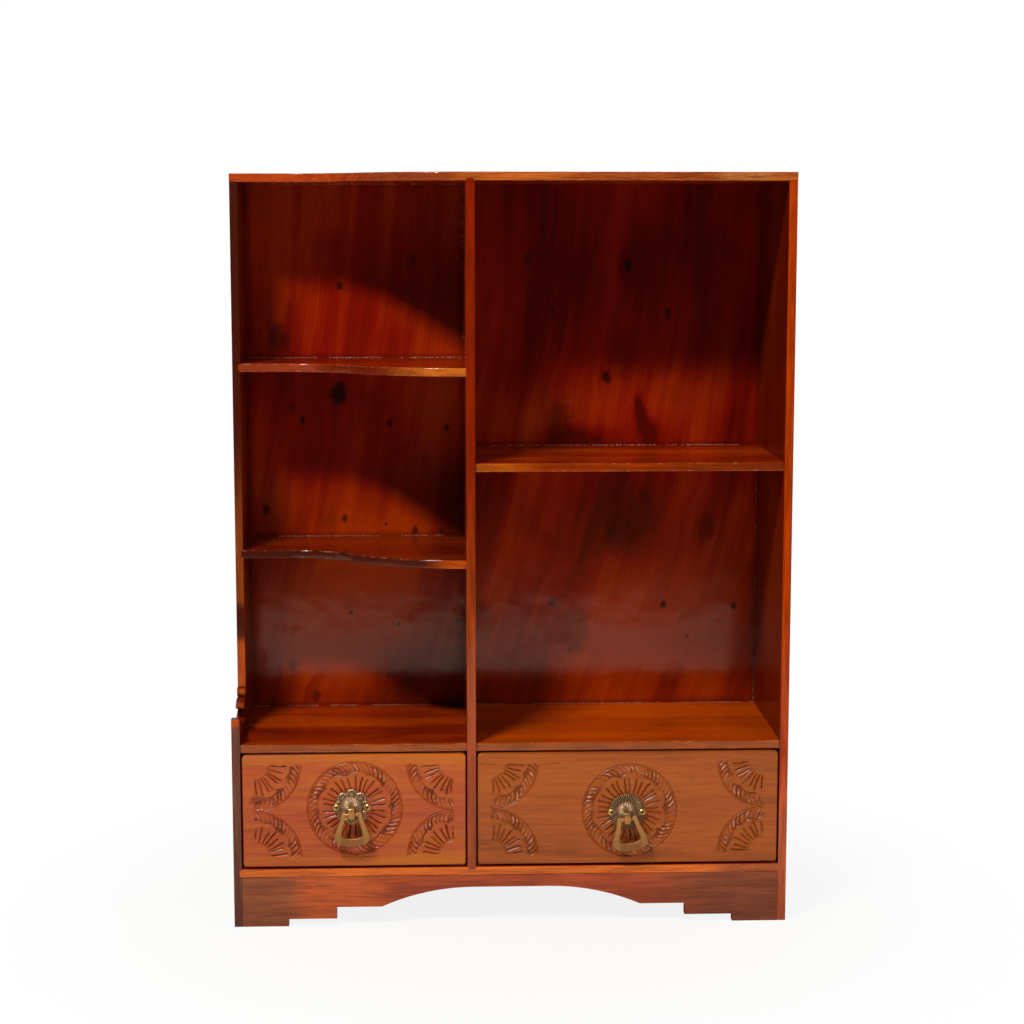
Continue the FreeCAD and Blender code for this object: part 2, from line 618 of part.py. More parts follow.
def make_drawer(name, left, right, shift, lean, lobed):
    """One drawer with its pull, for the opening between two uprights."""
    outer_left = left + SIDE_CLEARANCE
    outer_right = right - SIDE_CLEARANCE
    inner_left = outer_left + DRAWER_SIDE
    inner_right = outer_right - DRAWER_SIDE
    low = FLOOR_TOP + RUN_CLEARANCE
    high = DECK_UNDER - SIDE_TOP_DROP
    front_low = FLOOR_TOP + FRONT_FOOT_GAP
    front_high = DECK_UNDER - FRONT_TOP_GAP
    inside_y = FRONT_Y + DRAWER_FRONT
    lap_y = FRONT_Y + FRONT_LAP
    rear_y = BAY_BACK_Y - BACK_CLEARANCE
    back_y = rear_y - DRAWER_BACK
    floor_low = low + FLOOR_LIFT
    floor_high = floor_low + DRAWER_FLOOR

    front = box(outer_left, outer_right, FRONT_Y, inside_y, front_low, front_high)
    corners = [e for e in front.Edges if abs(e.Vertexes[0].Y - e.Vertexes[1].Y) > DRAWER_FRONT / 2]
    front = front.makeFillet(FRONT_CORNER, corners)
    face_rim = [e for e in front.Edges if middle(e).y < FRONT_Y + 1e-6]
    front = front.makeFillet(FRONT_EASE, face_rim)
    left_side = box(outer_left, inner_left, lap_y, rear_y, low, high)
    right_side = box(inner_right, outer_right, lap_y, rear_y, low, high)
    back = box(inner_left, inner_right, back_y, rear_y, floor_high, high)
    floor = box(inner_left - FLOOR_GROOVE, inner_right + FLOOR_GROOVE, inside_y - FLOOR_GROOVE,
                rear_y, floor_low, floor_high)

    # The rebates in the front run its whole height, so that the sides lap behind it
    rebates = [box(outer_left, inner_left, lap_y, inside_y, front_low, front_high),
               box(inner_right, outer_right, lap_y, inside_y, front_low, front_high)]
    front = front.cut(rebates + [floor])

    pins = []
    shoulder_y = (lap_y + inside_y) / 2
    joint_y = (back_y + rear_y) / 2
    for z in (low + PIN_INSET, high - PIN_INSET):
        for y in (shoulder_y, joint_y):
            pins.append(drawer_pin(V(outer_left, y, z), V(1, 0, 0)))
            pins.append(drawer_pin(V(outer_right, y, z), V(-1, 0, 0)))
    for x in between(inner_left, inner_right, 2):
        pins.append(drawer_pin(V(x, joint_y, floor_low), V(0, 0, 1)))
    pin_holes = [hole for _, hole in pins]

    middle_x = (outer_left + outer_right) / 2
    middle_z = (front_low + front_high) / 2
    centre = V(middle_x + shift[0], FRONT_Y, middle_z + shift[1])
    screws, screw_holes = make_pull_screws(centre)
    post_hole = rod(POST_RADIUS + POST_CLEARANCE, centre + V(0, DRAWER_FRONT, 0),
                    centre - V(0, PULL_REACH, 0))
    return {
        f"{name}_drawer_front": front.cut(pin_holes + screw_holes + [post_hole]),
        f"{name}_drawer_left_side": left_side.cut([floor] + pin_holes),
        f"{name}_drawer_right_side": right_side.cut([floor] + pin_holes),
        f"{name}_drawer_back": back.cut(pin_holes),
        f"{name}_drawer_bottom": floor.cut(pin_holes),
        f"{name}_drawer_pins": Part.Compound([solid for solid, _ in pins]),
        f"{name}_pull_rosette": rosette_blank(centre, lobed).cut(screw_holes + [post_hole]),
        f"{name}_pull_hook": make_hook(centre),
        f"{name}_pull_nut": make_nut(centre),
        f"{name}_pull_screws": Part.Compound(screws),
        f"{name}_pull_bail": make_bail(centre, lean),
    }


def main():
    """Builds every piece and writes one file for each."""
    pieces = make_carcass()
    pieces.update(make_drawer("left", -INNER_X, DIVIDER_LEFT, LEFT_PULL_SHIFT, LEFT_BAIL_LEAN, True))
    pieces.update(make_drawer("right", DIVIDER_RIGHT, INNER_X, RIGHT_PULL_SHIFT, RIGHT_BAIL_LEAN, False))
    os.makedirs("parts", exist_ok=True)
    for name, shape in pieces.items():
        shape.exportStep(f"parts/{name}.step")
        print(f"{name}: {len(shape.Solids)} solids, {shape.Volume:.1f} mm3, valid {shape.isValid()}")


main()
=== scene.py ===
"""The looks of a small wall shelf with two carved drawers, laid out as a Blender add-on.

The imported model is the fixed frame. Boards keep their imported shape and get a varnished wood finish, the
drawer fronts are carved as fine meshes, and the brass pulls are modelled in full around the same places.
"""

import json
import math

import bmesh
import bpy
import numpy as np
from bpy.props import FloatProperty, FloatVectorProperty, IntProperty, PointerProperty
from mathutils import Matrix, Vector


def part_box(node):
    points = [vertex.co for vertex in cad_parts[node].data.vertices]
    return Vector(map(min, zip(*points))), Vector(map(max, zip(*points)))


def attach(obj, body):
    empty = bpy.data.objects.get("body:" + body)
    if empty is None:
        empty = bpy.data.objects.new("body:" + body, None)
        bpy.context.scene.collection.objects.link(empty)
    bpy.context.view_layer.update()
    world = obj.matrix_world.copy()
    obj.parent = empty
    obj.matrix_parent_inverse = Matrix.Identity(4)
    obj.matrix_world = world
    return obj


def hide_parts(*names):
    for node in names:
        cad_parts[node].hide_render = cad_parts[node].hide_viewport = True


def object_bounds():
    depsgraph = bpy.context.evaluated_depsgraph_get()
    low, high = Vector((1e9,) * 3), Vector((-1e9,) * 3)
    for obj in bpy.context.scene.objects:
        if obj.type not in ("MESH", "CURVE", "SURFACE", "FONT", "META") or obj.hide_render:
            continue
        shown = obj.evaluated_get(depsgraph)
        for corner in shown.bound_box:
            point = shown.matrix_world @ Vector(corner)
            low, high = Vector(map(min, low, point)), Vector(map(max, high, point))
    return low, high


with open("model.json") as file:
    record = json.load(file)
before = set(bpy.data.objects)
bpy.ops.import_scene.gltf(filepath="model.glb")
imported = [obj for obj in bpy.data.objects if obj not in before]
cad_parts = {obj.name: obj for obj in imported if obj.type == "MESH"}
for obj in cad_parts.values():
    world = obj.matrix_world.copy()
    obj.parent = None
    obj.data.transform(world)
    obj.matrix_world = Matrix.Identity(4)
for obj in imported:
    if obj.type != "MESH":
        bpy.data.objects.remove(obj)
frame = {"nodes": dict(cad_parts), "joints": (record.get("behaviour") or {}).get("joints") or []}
CAD_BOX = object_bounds()
NODES = frame["nodes"]
MM = 0.001

bl_info = {
    "name": "Carved Wall Shelf",
    "version": (1, 0, 0),
    "blender": (4, 5, 0),
    "location": "View3D > Sidebar > Wall Shelf",
    "description": "Varnished boards, carved drawer fronts and brass drop pulls for a small wall shelf",
    "category": "Object",
}

SIDES = ("left", "right")

# Layout of the carving
CARVER_SEED = {"left": 5, "right": 9}
MEDALLION_SHIFT = {"left": (0.4 * MM, 2.0 * MM), "right": (1.2 * MM, -2.0 * MM)}
FAN_INSET = {"left": 9.2 * MM, "right": 11.0 * MM}
FAN_LOBES = 13
FAN_LEAVES = 52
FAN_RAYS = 8
FRONT_CORNER = 3.0 * MM
FRONT_EASE = 1.2 * MM
RIGHT_STEP = 1.15
SCRIBE_HALF = 0.42 * MM

# Shares of the carving, where 1 is the deepest cut or the full width of a leaf
CIRCLE_SHARE = 0.62
BORDER_SHARE = 0.62
BORDER_UNEVEN = 0.30
FIELD_SHARE = 0.10
HOLLOW_SHARE = 0.34
HUB_ARC_SHARE = 0.55
ROPE_SHARE = 0.64
ROPE_UNEVEN = 0.22
LEAF_ROUNDING = 0.86
LEAF_SLANT = 0.60
LEAF_CURL = 0.22

# Scribed lines and cracks of the fronts as start, end, height and dip in millimetres, and their depth share
FRONT_LINES = {
    "left": ((-88, 84, -39.4, 0.3, 0.22), (-90, -66, 41.5, 0.6, 0.20)),
    "right": ((-124, -56, 38.6, -1.4, 0.55), (-74, -44, 9.4, 0.7, 0.40), (46, 112, 15.0, 1.0, 0.16)),
}

# Fixed sizes of the pulls
DOME_CROWN = 6.6 * MM
DOME_EDGE = 1.02
DOME_FLUTE = 0.42 * MM
DOME_RING = 0.35 * MM
CONE_RIB = 0.60 * MM
SHELL = 5.0 * MM
SHELL_RIBS = 13
SHELL_RIB = 0.22 * MM
SHELL_RIM = 0.70 * MM
SHELL_BOSS = 0.85 * MM
BEAD = 0.60 * MM
BEAD_INSET = 0.62 * MM
BEAD_LIFT = 0.95 * MM
PIVOT_STANDOFF = 8.4 * MM
BAR_DROP = 4.6 * MM
GRIP_WIDTH = 18.6 * MM
GRIP_HALF = 9.4 * MM
GRIP_EASE = 1.6 * MM
GRIP_RIB = 0.32 * MM
GRIP_TOP = -16.0 * MM
GRIP_EDGE = -19.6 * MM
SCREW_HEAD = 2.9 * MM
SCREW_SEAT = 2.1 * MM
POLE = 0.02 * MM

# Half of a bail's edges as X and Z from its pivot in millimetres, from a leg's top to the middle of the grip
BAIL_OUTER = ((-8.2, 2.6), (-8.9, -1.0), (-10.4, -6.0), (-12.8, -12.0), (-14.6, -16.6), (-14.9, -20.0),
              (-13.2, -23.6), (-9.6, -25.6), (-5.0, -26.6), (0.0, -27.0))
BAIL_INNER = ((-4.4, 2.6), (-4.9, -1.0), (-5.9, -5.6), (-7.2, -10.4), (-8.3, -14.4), (-8.5, -16.6),
              (-7.9, -18.2), (-6.0, -19.4), (-3.2, -20.1), (0.0, -20.3))

# The strap of a hook as out from the drawer front and up from the rosette's middle, in millimetres
HOOK_PATH = ((5.6, 0.6), (8.2, 0.9), (9.9, 0.75), (10.85, 0.1), (11.2, -1.4), (11.2, -4.4), (11.0, -6.4),
             (10.2, -7.5), (9.0, -7.55), (7.9, -7.2))

# Fixed tones
EDGE_STREAK = (0.040, 0.004, 0.001)
RUBBED_ARRIS = (0.50, 0.20, 0.06)
FLECK = (0.050, 0.007, 0.002)
LOWER_ORANGE_SHIFT = (0.011, 0.0060, 0.0)
KNOT_HEART = (0.010, 0.003, 0.0015)
RUBBED_RIDGE_AND_HIGHLIGHT = (0.76, 0.47, 0.36)
RUST = (0.16, 0.06, 0.025)
NO_TINT = (0.0, (0.0, 0.0, 0.0))


def colour(name, text, default):
    """A colour property."""
    return FloatVectorProperty(name=name, description=text, subtype="COLOR", size=3, min=0.0, max=1.0,
                               default=default)


def length(name, text, default):
    """A length property, in metres."""
    return FloatProperty(name=name, description=text, subtype="DISTANCE", unit="LENGTH", default=default,
                         precision=5)


class WoodSettings(bpy.types.PropertyGroup):
    """The tones of the varnished wood."""

    back_dark: colour("Back dark", "Darkest streaks of the back", (0.070, 0.0018, 0.0004))
    back_red: colour("Back red", "Middle tone of the back", (0.185, 0.0048, 0.0005))
    back_light: colour("Back light", "Orange streaks of the back", (0.335, 0.0270, 0.0006))
    case_dark: colour("Case dark", "Dark grain of the case boards", (0.110, 0.0060, 0.0004))
    case_red: colour("Case red", "Middle tone of the case boards", (0.250, 0.0190, 0.0006))
    case_light: colour("Case light", "Light grain of the case boards", (0.380, 0.0480, 0.0010))
    left_dark: colour("Left front dark", "Dark grain of the left drawer front", (0.170, 0.024, 0.009))
    left_red: colour("Left front red", "Middle tone of the left drawer front", (0.272, 0.046, 0.011))
    left_light: colour("Left front light", "Golden grain of the left front", (0.350, 0.092, 0.005))
    right_dark: colour("Right front dark", "Dark grain of the right front", (0.125, 0.028, 0.005))
    right_red: colour("Right front red", "Middle tone of the right front", (0.230, 0.0485, 0.006))
    right_light: colour("Right front light", "Light grain of the right front", (0.300, 0.073, 0.006))
    carved: colour("Carved hollows", "Varnish pooled in the carved hollows", (0.060, 0.0075, 0.0015))
    box_dark: colour("Drawer dark", "Dark grain of the drawer boxes", (0.270, 0.130, 0.055))
    box_light: colour("Drawer light", "Light grain of the drawer boxes", (0.500, 0.300, 0.150))
    filler: colour("Filler", "Dried filler along the seams of the back", (0.420, 0.330, 0.250))


class CarvingSettings(bpy.types.PropertyGroup):
    """The sizes of the carved medallions and corner fans."""

    radius: length("Circle radius", "Incised circle of a medallion, and outer arc of a fan", 39.2 * MM)
    band_out: length("Band outer radius", "Outer edge of the rope band", 38.4 * MM)
    band_in: length("Band inner radius", "Inner edge of the rope band", 31.4 * MM)
    scallop: length("Scallop radius", "Crown of the scalloped border inside the band", 31.0 * MM)
    scallop_dip: length("Scallop dip", "How far the border turns in between two lobes", 3.3 * MM)
    hub: length("Hub radius", "Plain disc at the middle", 13.0 * MM)
    depth: length("Cut depth", "Depth of the deepest cuts", 1.7 * MM)
    line: length("Line width", "Half the width of an incised line", 0.55 * MM)
    flute: length("Flute width", "Half the width of a petal groove", 1.25 * MM)
    lobes: IntProperty(name="Lobes", description="Lobes of a medallion", default=10, min=3)
    leaves: IntProperty(name="Leaves", description="Leaves in a medallion's rope band", default=54, min=8)
    step: length("Grid step", "Spacing of the carved mesh", 0.48 * MM)


class PullSettings(bpy.types.PropertyGroup):
    """The sizes and metal tones of the drop pulls."""

    # The high brass tone also shows as painted light on the tops of the bails and hooks.
    gold: colour("Worn brass", "High spots of the brass", (0.490, 0.240, 0.078))
    pale: colour("Pale brass", "Rubbed brass of the rosettes", (0.570, 0.375, 0.205))
    olive: colour("Olive brass", "Flat lacquered brass of the bails", (0.260, 0.112, 0.038))
    patina: colour("Patina", "Dark patina in the hollows", (0.100, 0.041, 0.014))
    screw: colour("Screw brass", "Bright brass of the screws", (0.700, 0.440, 0.140))
    steel: colour("Steel", "Plain steel of nails and plates", (0.330, 0.320, 0.310))
    rosette: length("Rosette radius", "Reach of the rosettes", 15.2 * MM)
    plate: length("Plate", "Thickness of a rosette's rim", 1.2 * MM)
    dome: length("Dome radius", "Radius of the dome", 8.6 * MM)
    lobes: IntProperty(name="Rosette lobes", description="Shells round the left rosette", default=8, min=3)
    flutes: IntProperty(name="Dome flutes", description="Flutes round a rosette's dome", default=30, min=8)
    ribs: IntProperty(name="Rosette ribs", description="Ribs round the right rosette", default=54, min=8)
    beads: IntProperty(name="Rim beads", description="Beads round the right rosette", default=46, min=8)
    grip_ribs: IntProperty(name="Grip ribs", description="Upright ribs on a bail's grip", default=11, min=3)


class StageSettings(bpy.types.PropertyGroup):
    """The camera, the lamps and the floor."""

    camera: FloatVectorProperty(name="Camera", description="Place of the camera", subtype="TRANSLATION",
                                unit="LENGTH", default=(-0.066, -1.7725, 0.576))
    pitch: FloatProperty(name="Pitch", description="How far the camera looks down", subtype="ANGLE",
                         default=math.radians(7.67))
    yaw: FloatProperty(name="Yaw", description="How far the camera turns to the right", subtype="ANGLE",
                       default=math.radians(2.24))
    lens: FloatProperty(name="Lens", description="Focal length", subtype="DISTANCE_CAMERA", default=74.32)
    key_power: FloatProperty(name="Key power", description="Power of the key lamp", unit="POWER",
                             default=42.0)
    key_width: length("Key width", "Width of the key lamp", 0.40)
    key_height: length("Key height", "Height of the key lamp", 0.15)
    key_place: FloatVectorProperty(name="Key place", description="Place of the key lamp", unit="LENGTH",
                                   subtype="TRANSLATION", default=(-0.67, -1.05, 1.75))
    fill_power: FloatProperty(name="Fill power", description="Power of the soft light from the bright floor",
                              unit="POWER", default=5.0)
    side_power: FloatProperty(name="Side power", description="Power of the soft light from the right",
                              unit="POWER", default=11.5)
    ambient: FloatProperty(name="Ambient", description="Strength of the dim room light", default=0.09)
    room: FloatProperty(name="Room", description="How bright the room in front shows in the varnish",
                        default=0.015)
    floor_front: length("Floor front", "Where the pale floor ends in front", -1.22)


GROUPS = {"shelf_wood": WoodSettings, "shelf_carving": CarvingSettings, "shelf_pulls": PullSettings,
          "shelf_stage": StageSettings}


def settings(name):
    """One of the scene's setting groups."""
    return getattr(bpy.context.scene, name)


# Finishes
class Finish:
    """A procedural material, with short calls for the nodes that its recipe needs."""

    def __init__(self, name):
        self.material = bpy.data.materials.new(name)
        self.material.use_nodes = True
        self.tree = self.material.node_tree
        self.shader = self.tree.nodes["Principled BSDF"]

    def node(self, kind, **fields):
        """A node with its fields set."""
        made = self.tree.nodes.new(kind)
        for key, value in fields.items():
            setattr(made, key, value)
        return made

    def feed(self, socket, value):
        """Links an output to a socket, or sets the socket's own value."""
        if isinstance(value, bpy.types.NodeSocket):
            self.tree.links.new(value, socket)
        else:
            socket.default_value = value

    def set(self, **values):
        """Sets the shader's sockets, named with underscores for spaces."""
        for key, value in values.items():
            self.feed(self.shader.inputs[key.replace("_", " ")], value)

    def math(self, operation, first, second=0.0):
        """One step of arithmetic."""
        made = self.node("ShaderNodeMath", operation=operation)
        self.feed(made.inputs[0], first)
        self.feed(made.inputs[1], second)
        return made.outputs[0]

    def add(self, first, second):
        """The sum of two values."""
        return self.math("ADD", first, second)

    def times(self, first, second):
        """The product of two values."""
        return self.math("MULTIPLY", first, second)

    def remap(self, value, low, high, to_low=0.0, to_high=1.0):
        """A smooth step from one range to another."""
        made = self.node("ShaderNodeMapRange", interpolation_type="SMOOTHSTEP")
        for socket, given in zip(made.inputs, (value, low, high, to_low, to_high)):
            self.feed(socket, given)
        return made.outputs[0]

    def coordinates(self):
        """The piece's own coordinates as one vector."""
        return self.node("ShaderNodeTexCoord").outputs["Object"]

    def place(self):
        """The X, Y and Z of the piece's own coordinates."""
        made = self.node("ShaderNodeSeparateXYZ")
        self.feed(made.inputs[0], self.coordinates())
        return list(made.outputs)

    def facing(self, axis):
        """One component of the surface normal."""
        made = self.node("ShaderNodeSeparateXYZ")
        self.feed(made.inputs[0], self.node("ShaderNodeNewGeometry").outputs["Normal"])
        return made.outputs["XYZ".index(axis)]

    def vector(self, x, y, z):
        """A vector from three values."""
        made = self.node("ShaderNodeCombineXYZ")
        for socket, value in zip(made.inputs, (x, y, z)):
            self.feed(socket, value)
        return made.outputs[0]

    def noise(self, vector, scale, detail=2.0, roughness=0.5):
        """Soft noise in space, about 0.5."""
        made = self.node("ShaderNodeTexNoise")
        self.feed(made.inputs["Vector"], vector)
        made.inputs["Scale"].default_value = scale
        made.inputs["Detail"].default_value = detail
        made.inputs["Roughness"].default_value = roughness
        return made.outputs[0]

    def streaks(self, distance, scale, detail=3.0):
        """Noise along one line, for bands of uneven width."""
        made = self.node("ShaderNodeTexNoise", noise_dimensions="1D")
        self.feed(made.inputs["W"], distance)
        made.inputs["Scale"].default_value = scale
        made.inputs["Detail"].default_value = detail
        made.inputs["Roughness"].default_value = 0.6
        return made.outputs[0]

    def ramp(self, factor, stops):
        """A colour ramp through (place, colour) stops."""
        made = self.node("ShaderNodeValToRGB")
        points = made.color_ramp.elements
        while len(points) < len(stops):
            points.new(0.5)
        for point, (place, shade) in zip(points, stops):
            point.position = place
            point.color = (*shade, 1.0)
        self.feed(made.inputs[0], factor)
        return made.outputs[0]

    def blend(self, factor, first, second, kind="MIX"):
        """A colour between two others."""
        made = self.node("ShaderNodeMix", data_type="RGBA", blend_type=kind)
        self.feed(made.inputs[0], factor)
        for socket, value in zip((made.inputs[6], made.inputs[7]), (first, second)):
            self.feed(socket, value if isinstance(value, bpy.types.NodeSocket) else (*value, 1.0))
        return made.outputs[2]

    def lerp(self, factor, first, second):
        """A number between two others."""
        made = self.node("ShaderNodeMix", data_type="FLOAT")
        for socket, value in zip((made.inputs[0], made.inputs[2], made.inputs[3]), (factor, first, second)):
            self.feed(socket, value)
        return made.outputs[0]

    def bump(self, height, distance, strength=1.0):
        """A normal tilted by a fine height."""
        made = self.node("ShaderNodeBump")
        made.inputs["Strength"].default_value = strength
        made.inputs["Distance"].default_value = distance
        self.feed(made.inputs["Height"], height)
        return made.outputs[0]

    def attribute(self, name):
        """A number that the mesh keeps for each vertex."""
        return self.node("ShaderNodeAttribute", attribute_name=name).outputs["Fac"]


class Grain:
    """Wood grain for one board: rings, fibres and pores run along one axis, and wind round the knots."""

    def __init__(self, finish, along, seed, lean=0.0, sweep=0.0, knots=(), sway=0.010, stretch=0.10):
        x, y, z = finish.place()
        across, deep, length_wise = {"X": (z, y, x), "Y": (x, z, y), "Z": (x, y, z)}[along]
        self.finish = finish
        self.across = across
        self.length_wise = length_wise
        self.deep = deep
        self.lean = lean
        self.sweep = sweep
        self.knot = 0.0
        slope = finish.add(finish.times(length_wise, sweep), -lean)
        bowed = finish.add(across, finish.times(length_wise, slope))
        if knots:
            ragged = finish.noise(finish.coordinates(), 190.0, 2.0)
            self.wobble = finish.remap(ragged, 0.3, 0.7, 0.82, 1.22)
        for knot in knots:
            bowed = self.wind(bowed, *knot)
        own_shift = 0.37 * seed
        own_depth = finish.add(deep, 0.11 * seed)
        slow = finish.times(length_wise, stretch)
        shifted = finish.vector(finish.add(bowed, own_shift), own_depth, slow)
        wander = finish.add(finish.noise(shifted, 11.0, 2.0), -0.5)
        bent = finish.add(bowed, finish.times(wander, 2 * sway))
        self.bent = finish.add(bent, own_shift)
        self.line = finish.vector(self.bent, own_depth, slow)

    def wind(self, bowed, knot_across, knot_along, radius, darkness):
        """Winds the grain round one knot, and adds the knot's dark heart to the mask."""
        f = self.finish
        aside = f.add(self.across, -knot_across)
        up = f.times(f.add(self.length_wise, -knot_along), 0.7)
        reach = f.math("SQRT", f.add(f.times(aside, aside), f.times(up, up)))
        heart = f.remap(f.times(reach, self.wobble), 0.40 * radius, 1.20 * radius, darkness, 0.0)
        self.knot = f.math("MAXIMUM", self.knot, heart)
        lens = f.remap(reach, 0.8 * radius, 3.0 * radius, min(0.6, 2.4 * MM / radius), 0.0)
        at_knot = knot_across + knot_along * (self.sweep * knot_along - self.lean)
        return f.lerp(lens, bowed, f.add(reach, at_knot))

    def broad(self, scale=26.0):
        """Broad light and dark streaks."""
        return self.finish.remap(self.finish.noise(self.line, scale, 3.0, 0.55), 0.30, 0.70)

    def rings(self, scale=170.0, pith=0.06):
        """Growth rings about a pith behind the board."""
        f = self.finish
        behind = f.add(self.deep, pith)
        radius = f.math("SQRT", f.add(f.times(self.bent, self.bent), f.times(behind, behind)))
        return f.remap(f.streaks(f.add(radius, f.times(self.length_wise, 0.035)), scale), 0.30, 0.70)

    def fibre(self, scale=650.0):
        """Fine lines along the grain."""
        f = self.finish
        place = f.vector(self.bent, self.deep, f.times(self.length_wise, 0.05))
        return f.remap(f.noise(place, scale, 2.0, 0.6), 0.28, 0.72)

    def pores(self, scale=1500.0):
        """Short dark dashes."""
        f = self.finish
        place = f.vector(self.bent, self.deep, f.times(self.length_wise, 0.045))
        return f.remap(f.noise(place, scale, 1.0), 0.66, 0.76)


def varnish(f, grain_height, roughness, gloss, coat=0.85):
    """The clear coat over the wood, with the slight waves of a hand-rubbed board."""
    waves = f.noise(f.coordinates(), 38.0, 2.0)
    grain_bump = f.bump(grain_height, 0.16 * MM, 0.6)
    coat_bump = f.bump(f.add(waves, f.times(grain_height, 0.02)), 0.7 * MM, 0.5)
    f.set(Roughness=roughness, Normal=grain_bump, Coat_Normal=coat_bump)
    f.set(Specular_IOR_Level=0.0, Coat_Weight=coat, Coat_Roughness=gloss, Coat_IOR=1.5)


def front_edge(f, grain, wood, edge, bands, box):
    """Gives a board's front edge its own tone, with bands of other tones along it and rubbed arrises."""
    front = f.remap(f.facing("Y"), -0.92, -0.25, 1.0, 0.0)
    streak = f.remap(f.noise(grain.line, 240.0, 4.0, 0.62), 0.30, 0.70)
    streak = f.add(f.times(streak, 0.6), f.times(grain.fibre(520.0), 0.4))
    for axis, start, end, tone in bands:
        here = f.remap(f.place()["XYZ".index(axis)], start, end)
        edge = f.blend(here, edge, tone)
    shade = f.blend(f.remap(streak, 0.05, 0.95, 0.52, 0.0), edge, EDGE_STREAK)
    wood = f.blend(f.times(front, 0.92), wood, shade)
    if box is None:
        return wood
    low, high = box
    z = f.place()[2]
    nearest = f.math("MINIMUM", f.add(z, -low.z), f.add(f.times(z, -1.0), high.z))
    arris = f.times(front, f.remap(nearest, 0.2 * MM, 1.5 * MM, 1.0, 0.0))
    chipped = f.remap(f.noise(f.coordinates(), 210.0, 4.0, 0.6), 0.50, 0.66)
    return f.blend(f.times(arris, f.times(chipped, 0.40)), wood, RUBBED_ARRIS)


def case_wood(name, along, seed, edge, bands=(), box=None, flecks=0.0, board_tint=NO_TINT, coat=0.85):
    """The finish of one case board."""
    wood = settings("shelf_wood")
    f = Finish(name)
    grain = Grain(f, along, seed)
    mixed = f.add(f.times(grain.broad(), 0.58), f.times(grain.rings(), 0.24))
    mixed = f.add(mixed, f.times(grain.fibre(), 0.18))
    shade = f.ramp(mixed, [(0.10, wood.case_dark), (0.50, wood.case_red), (0.92, wood.case_light)])
    pores = grain.pores()
    shade = f.blend(f.times(pores, 0.45), shade, wood.case_dark)
    # A tint over the whole board: the amber tone is the board's own colour, the dark shade tone is painted
    # shade on boards standing in shadow.
    shade = f.blend(board_tint[0], shade, board_tint[1])
    shade = front_edge(f, grain, shade, edge, bands, box)
    if flecks:
        spots = f.noise(grain.line, 620.0, 4.0, 0.7)
        x = f.place()[0]
        dirt = f.times(f.remap(spots, 0.50, 0.60, 0.0, flecks), f.remap(x, -0.10, 0.10, 0.3, 1.0))
        shade = f.blend(dirt, shade, FLECK)
    f.set(Base_Color=shade)
    varnish(f, f.add(grain.fibre(), f.times(pores, -0.8)), 0.42, 0.10, coat)
    return f.material


def patched(f, mixed, x, z, patches):
    """Grain tones with soft lighter and darker patches, partly the wood's own tone and partly painted light
    and painted shade.
    """
    for patch_x, patch_z, wide_x, wide_z, shift in patches:
        aside = f.times(f.add(x, -patch_x), 1.0 / wide_x)
        up = f.times(f.add(z, -patch_z), 1.0 / wide_z)
        square = f.add(f.times(aside, aside), f.times(up, up))
        mixed = f.add(mixed, f.times(f.math("EXPONENT", f.times(square, -1.0)), shift))
    return mixed


def near_seams(f, x, z, seams):
    """The distance to the nearest of the back's seams."""
    near = 1.0
    for axis, at, start, end in seams:
        across, along = (x, z) if axis == "X" else (z, x)
        off = f.math("ABSOLUTE", f.add(across, -at))
        beyond = f.math("MAXIMUM", f.add(along, -end), f.add(f.times(along, -1.0), start))
        near = f.math("MINIMUM", near, f.math("MAXIMUM", off, beyond))
    return near


def back_wood(name, knots, patches, seams):
    """The finish of the back: broad upright streaks, bowed round its knots, with painted shade along the
    seams.
    """
    wood = settings("shelf_wood")
    f = Finish(name)
    grain = Grain(f, "Z", 2.3, lean=0.52, sweep=0.38, knots=knots, sway=0.022, stretch=0.17)
    wide = f.remap(f.noise(grain.line, 10.0, 3.0), 0.30, 0.70)
    mixed = f.add(f.times(grain.broad(24.0), 0.30), f.times(wide, 0.42))
    mixed = f.add(mixed, f.times(grain.rings(85.0, 0.05), 0.12))
    mixed = f.add(mixed, f.times(grain.fibre(700.0), 0.10))
    x, _, z = f.place()
    # Some of these patches are painted light and painted shade on the back.
    mixed = patched(f, mixed, x, z, patches)
    shade = f.ramp(mixed, [(0.12, wood.back_dark), (0.48, wood.back_red), (0.90, wood.back_light)])
    # An orange shift added to the back below about 0.38 m, at full strength below 0.30 m.
    shade = f.blend(f.remap(z, 0.38, 0.30), shade, LOWER_ORANGE_SHIFT, "ADD")
    board_tint = f.remap(f.noise(f.coordinates(), 15.0, 3.0), 0.56, 0.76)
    shade = f.blend(f.times(board_tint, 0.6), shade, wood.back_dark)
    shade = f.blend(grain.knot, shade, KNOT_HEART)
    front = f.remap(f.facing("Y"), -0.9, -0.5, 1.0, 0.0)
    # Painted shade: the back's front face darkens within a few millimetres of the seams where the shelves
    # and sides meet it.
    seam_shade = f.remap(near_seams(f, x, z, seams), 0.3 * MM, 6.0 * MM, 0.55, 0.0)
    shade = f.blend(f.times(seam_shade, front), shade, wood.back_dark)
    f.set(Base_Color=shade)
    varnish(f, f.add(grain.fibre(), f.times(grain.knot, -1.0)), 0.40, 0.12)
    return f.material


